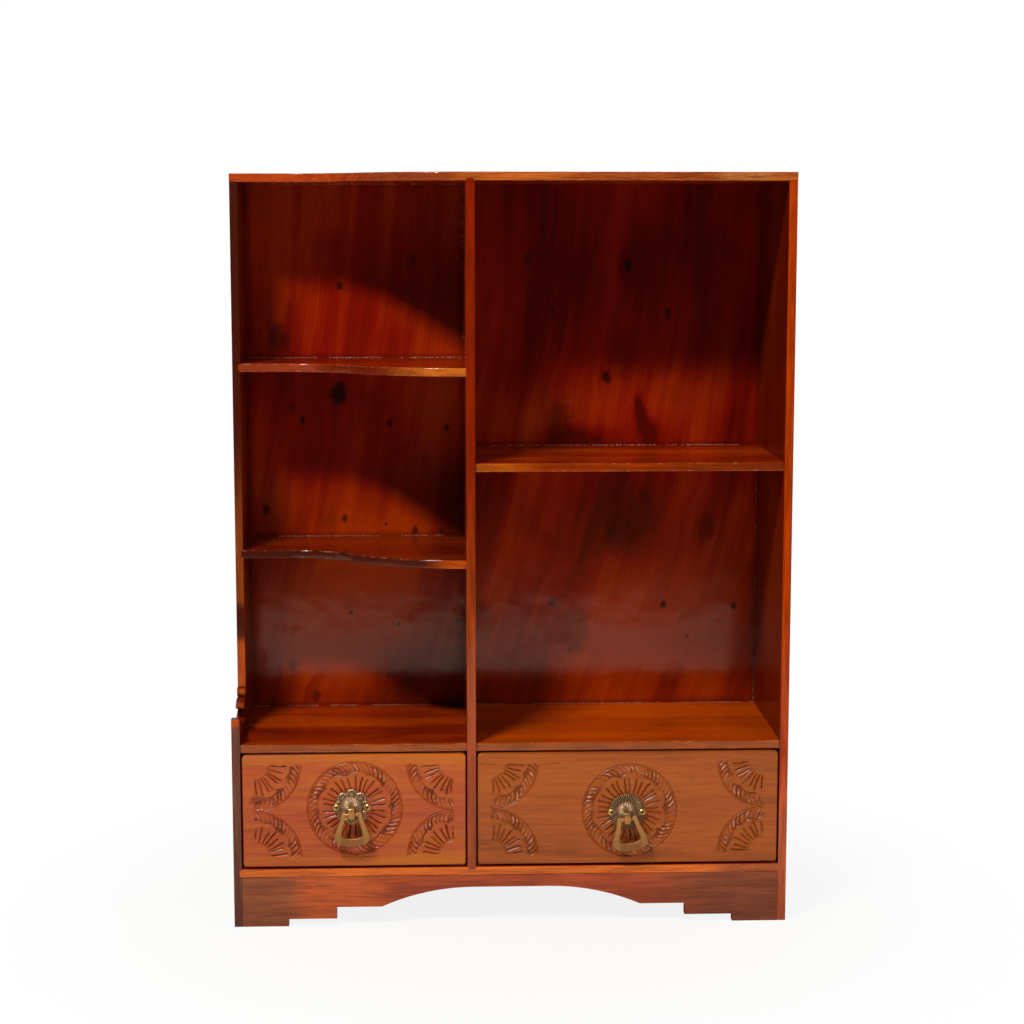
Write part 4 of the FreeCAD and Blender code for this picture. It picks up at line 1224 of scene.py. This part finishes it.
def smooth_through(place, value, fine):
    """A smooth curve through points, by cubic steps between them."""
    slope = np.gradient(value, place)
    i = np.clip(np.searchsorted(place, fine, side="right") - 1, 0, len(place) - 2)
    span = place[i + 1] - place[i]
    t = (fine - place[i]) / span
    start = (1 + 2 * t) * (1 - t) ** 2 * value[i] + t * (1 - t) ** 2 * span * slope[i]
    return start + t * t * (3 - 2 * t) * value[i + 1] + t * t * (t - 1) * span * slope[i + 1]


def grip_ribs(aside):
    """The upright ribs of a bail's grip, and the width that they cover."""
    count = settings("shelf_pulls").grip_ribs
    ribs = 0.5 + 0.5 * np.cos(math.tau * aside / (GRIP_WIDTH / count))
    return ribs, smooth_window(np.abs(aside), -1.0, GRIP_HALF, GRIP_EASE)


def bar_parts(pivot, bar):
    """Points and faces of the round bar that hangs in the hook."""
    sides = 24
    reach = 6.3 * MM
    radius = 1.6 * MM
    inward = Vector((0, 1, 0))
    upward = bar.cross(inward)
    points = []
    for end in (-reach, reach):
        for i in range(sides):
            turn = math.tau * i / sides
            aside = inward * math.cos(turn) + upward * math.sin(turn)
            points.append(pivot + bar * end + aside * radius)
    return points, tube_faces(2, sides)


def bail_mesh(side):
    """A drop bail: a flat strap with soft edges and a ribbed grip, and the bar that hangs in the hook."""
    along, across = 420, 22
    half = 1.3 * MM
    soft = 0.9 * MM
    outer, inner = bail_outline(along)
    t = np.linspace(0.0, 1.0, across)
    flat = outer[:, None, :] * (1 - t)[None, :, None] + inner[:, None, :] * t[None, :, None]
    width = np.linalg.norm(outer - inner, axis=1)[:, None]
    edge = np.minimum(t, 1 - t)[None, :] * width
    inset = np.clip(soft - edge, 0.0, soft)
    back = half - (soft - np.sqrt(soft ** 2 - inset ** 2))
    x, z = flat[:, :, 0], flat[:, :, 1]
    ribs, covered = grip_ribs(x)
    front = back - GRIP_RIB * ribs * covered * (z < GRIP_TOP) * smooth_window(edge, soft, 1.0, 0.7 * MM)
    pivot, bar = swing_axis(side)
    lean = math.atan2(bar.z, bar.x)

    def placed(out):
        px = x * math.cos(lean) - z * math.sin(lean)
        pz = x * math.sin(lean) + z * math.cos(lean)
        return np.stack([pivot.x + px, pivot.y - out, pivot.z + pz], axis=-1).reshape(-1, 3)

    points = np.concatenate([placed(front), placed(-back)])
    index = np.arange(along * across).reshape(along, across)
    behind = index + along * across
    faces = grid_faces(index) + grid_faces(behind.T)
    for k in (0, -1):
        faces += grid_faces(np.stack([index[:, k], behind[:, k]]))
        faces += grid_faces(np.stack([index[k], behind[k]]))
    points, faces = join_parts([(points.tolist(), faces), bar_parts(pivot, bar)])
    mesh = mesh_from(side + "_bail", points, faces, 40.0)
    down = vertex_places(mesh) - np.array(pivot)
    along_bar = down[:, 0] * bar.x + down[:, 2] * bar.z
    below = down[:, 2] * bar.x - down[:, 0] * bar.z
    drop = 20.0 * MM
    ribs, covered = grip_ribs(along_bar)
    # Painted light: the bail grows brighter towards its top; the grip's grooves stay darker with patina.
    wear_and_painted_light = 0.45 + 0.30 * np.clip((below + drop) / drop, 0.0, 1.0)
    store(mesh, "wear_and_painted_light", wear_and_painted_light - 0.45 * ribs * covered * (below < GRIP_EDGE))
    return mesh


def soft_section(half, thick, soft):
    """The section of a strap with rounded corners, as places across and off its middle line."""
    section = []
    for sx, sn in ((1, 1), (-1, 1), (-1, -1), (1, -1)):
        for i in range(5):
            turn = math.pi / 2 * i / 4
            a, b = (math.sin(turn), math.cos(turn)) if sx * sn < 0 else (math.cos(turn), math.sin(turn))
            section.append((sx * (half - soft + soft * a), sn * (thick - soft + soft * b)))
    return section


def strap_parts(centre):
    """Points and faces of the strap that is bent over the bail's bar."""
    path = np.array(HOOK_PATH) * MM
    place = np.linspace(0, 1, len(path))
    fine = np.linspace(0, 1, 72)
    line = np.stack([smooth_through(place, path[:, k], fine) for k in (0, 1)], axis=-1)
    tangent = np.gradient(line, axis=0)
    tangent /= np.linalg.norm(tangent, axis=1)[:, None]
    normal = np.stack([-tangent[:, 1], tangent[:, 0]], axis=-1)
    section = soft_section(half=2.5 * MM, thick=0.75 * MM, soft=0.38 * MM)
    points = []
    for spot, side_way in zip(line, normal):
        for across, off in section:
            out, up = spot + side_way * off
            points.append((centre.x + across, centre.y - out, centre.z + up))
    return points, tube_faces(len(line), len(section))


def thread_profile(inside):
    """The profile of a threaded shank, from behind the strap to its end inside the drawer."""
    crest = 2.0 * MM
    root = 1.6 * MM
    pitch = 0.8 * MM
    start = 5.0 * MM
    profile = [(POLE, start), (crest, start)]
    out = 0.0
    while out > pitch - inside:
        profile += [(crest, out), (root, out - pitch / 2)]
        out -= pitch
    return profile + [(1.7 * MM, -inside), (POLE, -inside)]


def hook_mesh(side):
    """The hook: a strap bent over the bail's bar, and a threaded shank through the drawer front."""
    centre = pull_centre(side)
    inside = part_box(side + "_pull_hook")[1].y - centre.y
    shank = turned(thread_profile(inside), 20, centre)
    points, faces = join_parts([strap_parts(centre), shank])
    mesh = mesh_from(side + "_hook", points, faces, 50.0)
    place = vertex_places(mesh)
    stand = centre.y - place[:, 1]
    rise = place[:, 2] - centre.z
    # Brighter on the strap's outer bend, and painted light on its top above the rosette's middle.
    wear_and_painted_light = np.clip((stand - 9.0 * MM) / (2.0 * MM), 0.25, 0.7) + np.clip(rise / (1.2 * MM), 0.0, 0.4)
    store(mesh, "wear_and_painted_light", wear_and_painted_light)
    return mesh


# Filler
def filler_mesh(lines, material):
    """Crumbs of dried filler, scattered along the seams of the back."""
    kept_above = 0.455
    smallest, largest = 0.45, 1.25
    stray_low = (-0.6 * MM, 0.0, -0.1 * MM)
    stray_high = (0.6 * MM, 0.0, 0.25 * MM)
    paths = bpy.data.meshes.new("seams")
    points = [p for line in lines for p in line]
    edges = [(i, i + 1) for i in range(0, len(points), 2)]
    paths.from_pydata(points, edges, [])
    crumbs = Repeat("seam_filler", paths)
    path = crumbs.node("GeometryNodeMeshToCurve", Mesh=crumbs.inlet.outputs["Geometry"])
    dots = crumbs.node("GeometryNodeResampleCurve", {"mode": "LENGTH"}, Curve=path.outputs[0],
                       Length=crumbs.input("Spacing", "length", 1.3 * MM))
    seed = crumbs.input("Seed", "int", 4)
    keep = crumbs.node("ShaderNodeTexNoise", Scale=38.0, Detail=3.0)
    few = crumbs.node("FunctionNodeCompare", {"data_type": "FLOAT", "operation": "GREATER_THAN"})
    crumbs.tree.links.new(keep.outputs[0], few.inputs[0])
    few.inputs[1].default_value = kept_above
    size = crumbs.node("FunctionNodeRandomValue", {"data_type": "FLOAT"}, Seed=seed)
    size.inputs[2].default_value = smallest
    size.inputs[3].default_value = largest
    grain = crumbs.node("GeometryNodeMeshIcoSphere", Subdivisions=1,
                        Radius=crumbs.input("Crumb radius", "length", 0.36 * MM))
    stray = crumbs.node("FunctionNodeRandomValue", {"data_type": "FLOAT_VECTOR"}, Seed=seed)
    stray.inputs[0].default_value = stray_low
    stray.inputs[1].default_value = stray_high
    loose = crumbs.node("GeometryNodeSetPosition", Geometry=dots.outputs[0], Offset=stray.outputs[0])
    spread = crumbs.node("GeometryNodeInstanceOnPoints", Points=loose.outputs[0], Selection=few.outputs[0],
                         Instance=grain.outputs[0], Scale=size.outputs[1])
    return crumbs.finish(spread.outputs[0], material, "seam_filler")


# Operators
class WALLSHELF_OT_case(bpy.types.Operator):
    """Varnishes the boards of the case, each with its own grain"""

    bl_idname = "wallshelf.case"
    bl_label = "Case boards"

    # Tones of the front edges, and of tints over whole boards: the amber tone is the board's own colour, the
    # dark shade tone is painted shade
    GOLD = (0.42, 0.105, 0.010)
    ORANGE = (0.34, 0.052, 0.003)
    DUSK = (0.100, 0.009, 0.002)
    PLUM = (0.032, 0.006, 0.003)
    SLATE = (0.110, 0.042, 0.024)
    SHADOW = (0.050, 0.0025, 0.0004)
    AMBER = (0.500, 0.085, 0.002)

    # Boards with curved edges: their grain, their front edge's tone, and bands as axis, start, end and tone
    CURVED = {
        "top_panel": dict(along="X", seed=1.0, edge=(0.35, 0.042, 0.006), flecks=0.55,
                          bands=[("X", -0.13, -0.11, (0.20, 0.036, 0.010)),
                                 ("X", -0.065, -0.03, (0.40, 0.090, 0.012)),
                                 ("X", 0.035, 0.065, (0.30, 0.060, 0.010)),
                                 ("X", 0.155, 0.18, (0.52, 0.180, 0.040)),
                                 ("X", 0.20, 0.215, (0.36, 0.085, 0.012))]),
        "upper_left_shelf": dict(along="X", seed=2.1, edge=(0.22, 0.032, 0.010), board_tint=(0.30, SHADOW),
                                 bands=[("X", -0.165, -0.145, DUSK), ("X", -0.115, -0.055, GOLD)]),
        # The lower left shelf's dark plum front edge and the dark shade tone over it are painted shade.
        "lower_left_shelf": dict(along="X", seed=3.4, edge=PLUM, board_tint=(0.68, SHADOW),
                                 bands=[("X", -0.075, -0.045, ORANGE)]),
        # The dark shade tone darkens the left side as painted shade, since its inner face stands unlit.
        "left_side": dict(along="Z", seed=4.2, edge=SLATE, board_tint=(0.75, SHADOW), coat=0.35,
                          bands=[("Z", 0.168, 0.172, ORANGE), ("Z", 0.225, 0.235, PLUM),
                                 ("Z", 0.255, 0.265, (0.180, 0.038, 0.007)), ("Z", 0.29, 0.41, PLUM)]),
        "front_apron": dict(along="X", seed=5.7, edge=(0.230, 0.062, 0.020),
                            bands=[("X", -0.19, -0.165, (0.44, 0.078, 0.014)),
                                   ("X", -0.13, -0.08, (0.33, 0.050, 0.012)),
                                   ("X", 0.09, 0.18, (0.175, 0.042, 0.015))]),
    }
    # Straight boards, in the same way
    FLAT = {
        # The dark shade tone darkens the right side as painted shade over its lit inner face.
        "right_side": dict(along="Z", seed=6.3, edge=(0.33, 0.033, 0.001), board_tint=(0.78, SHADOW), coat=0.5,
                           bands=[("Z", 0.145, 0.075, (0.42, 0.080, 0.028))]),
        "divider": dict(along="Z", seed=7.9, edge=(0.23, 0.036, 0.005), board_tint=(0.3, SHADOW),
                        bands=[("Z", 0.22, 0.42, (0.175, 0.009, 0.0005))]),
        "floor_board": dict(along="X", seed=8.8, edge=(0.53, 0.108, 0.008),
                            bands=[("X", 0.16, 0.185, (0.32, 0.070, 0.012))]),
        "right_shelf": dict(along="X", seed=9.6, edge=(0.36, 0.076, 0.004),
                            bands=[("X", -0.01, 0.03, (0.21, 0.024, 0.001)),
                                   ("X", 0.12, 0.16, (0.15, 0.020, 0.002))]),
        "left_deck": dict(along="X", seed=10.4, edge=(0.22, 0.044, 0.003), board_tint=(0.22, SHADOW)),
        "right_deck": dict(along="X", seed=11.5, edge=(0.22, 0.044, 0.004), board_tint=(0.3, AMBER)),
    }

    def execute(self, context):
        for node, recipe in self.CURVED.items():
            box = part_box(node) if recipe["along"] == "X" and node != "front_apron" else None
            material = case_wood(node + "_wood", box=box, **recipe)
            smooth_copy(node, node + "_board", "carcass", "case_wood", material)
        for node, recipe in self.FLAT.items():
            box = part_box(node) if recipe["along"] == "X" else None
            dress(node, case_wood(node + "_wood", box=box, **recipe))
        return {"FINISHED"}


class WALLSHELF_OT_back(bpy.types.Operator):
    """Finishes the knotty back and the filler along its seams"""

    bl_idname = "wallshelf.back"
    bl_label = "Back panel"

    # Knots as X, Z and radius in millimetres, and how dark they are
    KNOTS = ((-198, 481, 11, 0.62), (-143, 525, 3, 0.8), (-145, 432, 9, 0.9), (-186, 420, 4, 0.5),
             (-177, 409, 2.6, 0.9), (-101, 406, 3, 0.9), (-51, 402, 3, 0.9), (-210, 330, 3.6, 0.8),
             (-141, 322, 3.2, 0.8), (-105, 317, 1.3, 0.9), (-79, 311, 3.2, 0.8), (-56, 310, 2.4, 0.7),
             (-136, 238, 1.7, 0.95), (-94, 227, 1.8, 0.95), (-189, 191, 5, 0.5), (-168, 163, 5, 0.55),
             (-80, 548, 4, 0.6), (20, 550, 4, 0.6), (107, 543, 4.6, 0.9), (42, 505, 1.8, 0.8),
             (143, 501, 4.2, 0.75), (89, 446, 5, 0.85), (48, 408, 14, 0.5), (101, 306, 15, 0.4),
             (178, 313, 10, 0.5), (42, 246, 4, 0.6), (141, 244, 3, 0.85), (204, 241, 3, 0.85),
             (163, 215, 1.4, 0.95), (58, 203, 1.8, 0.8), (62, 221, 17, 0.35),
             (-42, 230, 2.4, 0.8), (-40, 217, 2.2, 0.8), (-42, 207, 1.8, 0.7))
    # Lighter and darker patches as X, Z, half width and half height in millimetres, and the shift in tone;
    # some are the wood's own tone, others painted light and painted shade in the bays
    PATCHES = ((-130, 240, 95, 60, 0.66), (-130, 164, 80, 14, -0.20), (-195, 335, 42, 30, 0.32),
               (-185, 440, 35, 30, -0.20), (-100, 480, 40, 16, -0.06), (-60, 560, 50, 45, -0.10),
               (75, 530, 60, 85, -0.52), (5, 405, 45, 35, 0.42), (58, 391, 30, 12, -0.75),
               (117, 421, 3, 9, -0.60), (121, 410, 4, 9, -0.75), (127, 396, 7, 11, -0.75),
               (150, 435, 30, 32, 0.32), (205, 392, 26, 42, -0.28), (80, 330, 45, 50, -0.30),
               (180, 238, 36, 40, 0.25), (45, 168, 35, 14, -0.30), (178, 168, 25, 16, 0.25),
               (120, 232, 60, 40, 0.10), (158, 204, 52, 22, 0.48), (122, 322, 24, 38, -0.42))

    def execute(self, context):
        knots = [(x * MM, z * MM, r * MM, dark) for x, z, r, dark in self.KNOTS]
        top = CAD_BOX[1].z
        rails = ("upper_left_shelf", "lower_left_shelf", "right_shelf", "left_deck", "right_deck")
        seams = [("Z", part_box(node)[1].z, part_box(node)[0].x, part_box(node)[1].x) for node in rails]
        for node, edge in (("divider", 0), ("divider", 1), ("left_side", 1), ("right_side", 0)):
            seams.append(("X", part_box(node)[edge].x, 0.0, top))
        patches = [(x * MM, z * MM, a * MM, b * MM, shift) for x, z, a, b, shift in self.PATCHES]
        dress("back_panel", back_wood("back_panel_wood", knots, patches, seams))
        filler = Finish("dried_filler")
        place = filler.coordinates()
        tone = filler.remap(filler.noise(place, 500.0, 3.0), 0.3, 0.7)
        pale = tuple(settings("shelf_wood").filler)
        filler.set(Base_Color=filler.blend(tone, tuple(0.5 * c for c in pale), pale), Roughness=0.8)
        mesh = filler_mesh(self.seam_lines(), filler.material)
        piece("seam_filler", mesh, "carcass", "back_wood", filler.material)
        return {"FINISHED"}

    @staticmethod
    def seam_lines():
        """The seams that show filler, a hair in front of the back."""
        hair = 0.12 * MM
        margin = 2 * MM
        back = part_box("floor_board")[1].y - 0.15 * MM
        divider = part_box("divider")
        left_bays = (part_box("left_side")[1].x, divider[0].x)
        right_bays = (divider[1].x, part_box("right_side")[0].x)
        boards = {"upper_left_shelf": left_bays, "lower_left_shelf": left_bays, "left_deck": left_bays,
                  "right_shelf": right_bays, "right_deck": right_bays}
        lines = []
        for node, (start, end) in boards.items():
            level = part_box(node)[1].z + hair
            lines.append(((start + margin, back, level), (end - margin, back, level)))
        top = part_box("top_panel")[0].z
        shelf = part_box("right_shelf")
        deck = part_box("right_deck")[1].z
        for x, foot, head in ((right_bays[1] - hair, deck, shelf[0].z),
                              (right_bays[0] + hair, shelf[1].z + 140 * MM, top)):
            lines.append(((x, back, foot), (x, back, head)))
        level = top - hair
        lines.append(((left_bays[0] + 20 * MM, back, level), (left_bays[1] - margin, back, level)))
        x = left_bays[1] - hair
        lines.append(((x, back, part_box("upper_left_shelf")[1].z), (x, back, top)))
        return lines


class WALLSHELF_OT_fronts(bpy.types.Operator):
    """Carves the two drawer fronts"""

    bl_idname = "wallshelf.fronts"
    bl_label = "Carved drawer fronts"

    def execute(self, context):
        wood = settings("shelf_wood")
        left = front_centre("left")
        foot, head = (corner.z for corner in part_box("left_drawer_front"))
        left_tones = (wood.left_dark, wood.left_red, wood.left_light)
        right_tones = (wood.right_dark, wood.right_red, wood.right_light)
        left_gold = [(foot + 13 * MM, foot + 4 * MM, 0.85), (head - 13 * MM, head - 4 * MM, 0.70)]
        right_gold = [(foot + 6 * MM, foot - 2 * MM, 0.3)]
        left_knots = [(left.z + 9 * MM, left.x - 80 * MM, 4.5 * MM, 0.8)]
        finishes = {
            "left": carved_wood("left_front_wood", left_tones, 13.3, 0.84, left_gold, left_knots),
            "right": carved_wood("right_front_wood", right_tones, 15.1, 0.70, right_gold),
        }
        for side in SIDES:
            piece(side + "_carved_front", carved_front_mesh(side), side + "_drawer", "drawer_front_wood",
                  finishes[side], side + "_drawer_front")
        return {"FINISHED"}


class WALLSHELF_OT_drawers(bpy.types.Operator):
    """Finishes the drawer boxes and their pins"""

    bl_idname = "wallshelf.drawers"
    bl_label = "Drawer boxes"

    def execute(self, context):
        boards = (("left_side", "Y"), ("right_side", "Y"), ("back", "X"), ("bottom", "X"))
        steel = plain_steel("drawer_pin_steel")
        for turn, side in enumerate(SIDES):
            for place, (board, along) in enumerate(boards):
                node = f"{side}_drawer_{board}"
                dress(node, box_wood(node + "_wood", along, 20.0 + 4 * turn + place))
            dress(side + "_drawer_pins", steel)
        return {"FINISHED"}


class WALLSHELF_OT_rosettes(bpy.types.Operator):
    """Makes the two brass rosettes"""

    bl_idname = "wallshelf.rosettes"
    bl_label = "Rosettes"

    def execute(self, context):
        p = settings("shelf_pulls")
        brass = aged_brass("rosette_brass", tuple(p.pale), tuple(p.patina), "wear_and_painted_light", 0.42)
        for side in SIDES:
            mesh = rosette_mesh(side)
            piece(side + "_rosette", mesh, side + "_drawer", "brass", brass, side + "_pull_rosette")
        beads = aged_brass("bead_brass", tuple(p.olive), tuple(p.patina), None, 0.34)
        piece("right_rim_beads", bead_ring_mesh("right", beads), "right_drawer", "brass", beads)
        return {"FINISHED"}


class WALLSHELF_OT_hooks(bpy.types.Operator):
    """Makes the hooks that carry the bails, and finishes their nuts"""

    bl_idname = "wallshelf.hooks"
    bl_label = "Hooks and nuts"

    def execute(self, context):
        p = settings("shelf_pulls")
        brass = aged_brass("hook_brass", tuple(p.gold), tuple(p.olive), "wear_and_painted_light", 0.36)
        nut = aged_brass("nut_brass", tuple(p.gold), tuple(p.patina), None, 0.4)
        for side in SIDES:
            piece(side + "_hook", hook_mesh(side), side + "_drawer", "brass", brass, side + "_pull_hook")
            dress(side + "_pull_nut", nut)
        return {"FINISHED"}


class WALLSHELF_OT_bails(bpy.types.Operator):
    """Makes the two drop bails"""

    bl_idname = "wallshelf.bails"
    bl_label = "Drop bails"

    def execute(self, context):
        p = settings("shelf_pulls")
        brass = aged_brass("bail_brass", tuple(p.gold), tuple(p.olive), "wear_and_painted_light", 0.34)
        for side in SIDES:
            piece(side + "_bail", bail_mesh(side), side + "_bail", "brass", brass, side + "_pull_bail")
        return {"FINISHED"}


class WALLSHELF_OT_fasteners(bpy.types.Operator):
    """Sets the rosette screws, and finishes the nails and the hanger plates"""

    bl_idname = "wallshelf.fasteners"
    bl_label = "Screws, nails and hangers"

    def execute(self, context):
        p = settings("shelf_pulls")
        brass = aged_brass("screw_brass", tuple(p.screw), tuple(p.patina), "wear_and_painted_light", 0.34)
        for side in SIDES:
            mesh = pull_screws_mesh(side, brass)
            piece(side + "_rosette_screws", mesh, side + "_drawer", "brass", brass, side + "_pull_screws")
        steel = plain_steel("case_steel")
        for node in ("back_panel_nails", "top_nails", "hanger_plates", "hanger_screws"):
            dress(node, steel)
        return {"FINISHED"}


class WALLSHELF_OT_stage(bpy.types.Operator):
    """Sets the floor, the lamps, the backdrop and the camera"""

    bl_idname = "wallshelf.stage"
    bl_label = "Stage"

    SIDE_PLACE = (1.0, -1.35, 1.20)
    SIDE_SIZE = 1.1
    FILL_AHEAD = 0.40
    FILL_LIFT = 0.01
    FILL_WIDTH = 1.5
    FILL_DEPTH = 0.66
    FLOOR_BACK = 2.2
    FLOOR_SIDE = 1.7
    FLOOR_TONE = (0.68, 0.58, 0.46, 1.0)
    SHADOW_NEAR = 0.10
    SHADOW_FAR = 0.50
    SHADOW_WHITE = 0.86
    HORIZON = 0.3
    WHITE = (1.0, 1.0, 1.0, 1.0)

    def execute(self, context):
        self.floor()
        self.lamps()
        self.backdrop()
        self.camera()
        context.scene.view_settings.view_transform = "Standard"
        return {"FINISHED"}

    def floor(self):
        """A pale floor that keeps the soft shadow near the shelf and turns white away from it."""
        front = settings("shelf_stage").floor_front
        mesh = bpy.data.meshes.new("floor")
        side = self.FLOOR_SIDE
        back = self.FLOOR_BACK
        corners = [(-side, front, 0), (side, front, 0), (side, back, 0), (-side, back, 0)]
        mesh.from_pydata(corners, [], [(0, 1, 2, 3)])
        f = Finish("pale_floor")
        f.set(Base_Color=self.FLOOR_TONE, Roughness=0.9, Specular_IOR_Level=0.1)
        x, y, _ = f.place()
        reach = f.math("SQRT", f.add(f.times(x, x), f.times(y, y)))
        share = f.remap(reach, self.SHADOW_NEAR, self.SHADOW_FAR, self.SHADOW_WHITE, 1.0)
        seen = f.times(share, f.node("ShaderNodeLightPath").outputs["Is Camera Ray"])
        white = f.node("ShaderNodeEmission")
        white.inputs["Strength"].default_value = 1.0
        mixed = f.node("ShaderNodeMixShader")
        f.feed(mixed.inputs[0], seen)
        f.feed(mixed.inputs[1], f.shader.outputs[0])
        f.feed(mixed.inputs[2], white.outputs[0])
        f.feed(f.tree.nodes["Material Output"].inputs["Surface"], mixed.outputs[0])
        mesh.materials.append(f.material)
        floor = bpy.data.objects.new("floor", mesh)
        bpy.context.scene.collection.objects.link(floor)

    def lamp(self, name, place, target, power, **fields):
        """An area lamp that points from one place to another."""
        light = bpy.data.lights.new(name, "AREA")
        light.energy = power
        for key, value in fields.items():
            setattr(light, key, value)
        made = bpy.data.objects.new(name, light)
        bpy.context.scene.collection.objects.link(made)
        made.location = place
        made.rotation_euler = (Vector(place) - Vector(target)).to_track_quat("Z", "Y").to_euler()
        return made

    def lamps(self):
        """A key lamp high on the left, the light of the bright floor, and a soft light from the right."""
        stage = settings("shelf_stage")
        low, high = CAD_BOX
        middle = (low + high) / 2
        self.lamp("key_lamp", stage.key_place, middle, stage.key_power, shape="RECTANGLE",
                  size=stage.key_width, size_y=stage.key_height)
        ahead = Vector((0.0, low.y - self.FILL_AHEAD, self.FILL_LIFT))
        fill = self.lamp("floor_fill", ahead, ahead + Vector((0, 0, 1)), stage.fill_power,
                         shape="RECTANGLE", size=self.FILL_WIDTH, size_y=self.FILL_DEPTH)
        side = self.lamp("side_fill", self.SIDE_PLACE, middle, stage.side_power, shape="SQUARE",
                         size=self.SIDE_SIZE)
        for soft in (fill, side):
            soft.visible_camera = False
            soft.visible_glossy = False

    def backdrop(self):
        """A white backdrop for the eye and for reflections of it, and a dim room for the rest."""
        world = bpy.data.worlds.new("backdrop")
        bpy.context.scene.world = world
        world.use_nodes = True
        stage = settings("shelf_stage")
        tree = world.node_tree
        links = tree.links
        shade = tree.nodes["Background"]
        path = tree.nodes.new("ShaderNodeLightPath")
        spot = tree.nodes.new("ShaderNodeSeparateXYZ")
        links.new(tree.nodes.new("ShaderNodeTexCoord").outputs["Generated"], spot.inputs[0])

        def scaled(value, to_low, to_high, from_high=1.0):
            made = tree.nodes.new("ShaderNodeMapRange")
            links.new(value, made.inputs["Value"])
            made.inputs["From Max"].default_value = from_high
            for name, given in (("To Min", to_low), ("To Max", to_high)):
                if isinstance(given, bpy.types.NodeSocket):
                    links.new(given, made.inputs[name])
                else:
                    made.inputs[name].default_value = given
            return made.outputs[0]

        mirrored = scaled(spot.outputs["Y"], stage.room, 1.0, self.HORIZON)
        soft = scaled(path.outputs["Is Glossy Ray"], stage.ambient, mirrored)
        links.new(scaled(path.outputs["Is Camera Ray"], soft, 1.0), shade.inputs["Strength"])
        shade.inputs["Color"].default_value = self.WHITE

    def camera(self):
        """The camera at the viewing angle of the photograph."""
        stage = settings("shelf_stage")
        eye = bpy.data.cameras.new("camera")
        eye.lens = stage.lens
        eye.sensor_width = 36.0
        holder = bpy.data.objects.new("camera", eye)
        bpy.context.scene.collection.objects.link(holder)
        holder.location = stage.camera
        holder.rotation_euler = (math.radians(90.0) - stage.pitch, 0.0, -stage.yaw)
        bpy.context.scene.camera = holder


OPERATORS = (WALLSHELF_OT_case, WALLSHELF_OT_back, WALLSHELF_OT_fronts, WALLSHELF_OT_drawers,
             WALLSHELF_OT_rosettes, WALLSHELF_OT_hooks, WALLSHELF_OT_bails, WALLSHELF_OT_fasteners,
             WALLSHELF_OT_stage)


class WALLSHELF_PT_panel(bpy.types.Panel):
    """The shelf's pieces and settings in the sidebar"""

    bl_label = "Wall Shelf"
    bl_space_type = "VIEW_3D"
    bl_region_type = "UI"
    bl_category = "Wall Shelf"

    def draw(self, context):
        for operator in OPERATORS:
            self.layout.operator(operator.bl_idname)
        for name, group in GROUPS.items():
            box = self.layout.box()
            for field in group.__annotations__:
                box.prop(getattr(context.scene, name), field)


CLASSES = (*GROUPS.values(), *OPERATORS, WALLSHELF_PT_panel)


def register():
    """Makes the classes and the scene's setting groups known to Blender."""
    for kind in CLASSES:
        bpy.utils.register_class(kind)
    for name, group in GROUPS.items():
        setattr(bpy.types.Scene, name, PointerProperty(type=group))


def unregister():
    """Takes them out again."""
    for name in GROUPS:
        delattr(bpy.types.Scene, name)
    for kind in reversed(CLASSES):
        bpy.utils.unregister_class(kind)


def main():
    """Registers the add-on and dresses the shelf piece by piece."""
    register()
    for operator in OPERATORS:
        group, name = operator.bl_idname.split(".")
        getattr(getattr(bpy.ops, group), name)()


if __name__ == "__main__":
    main()
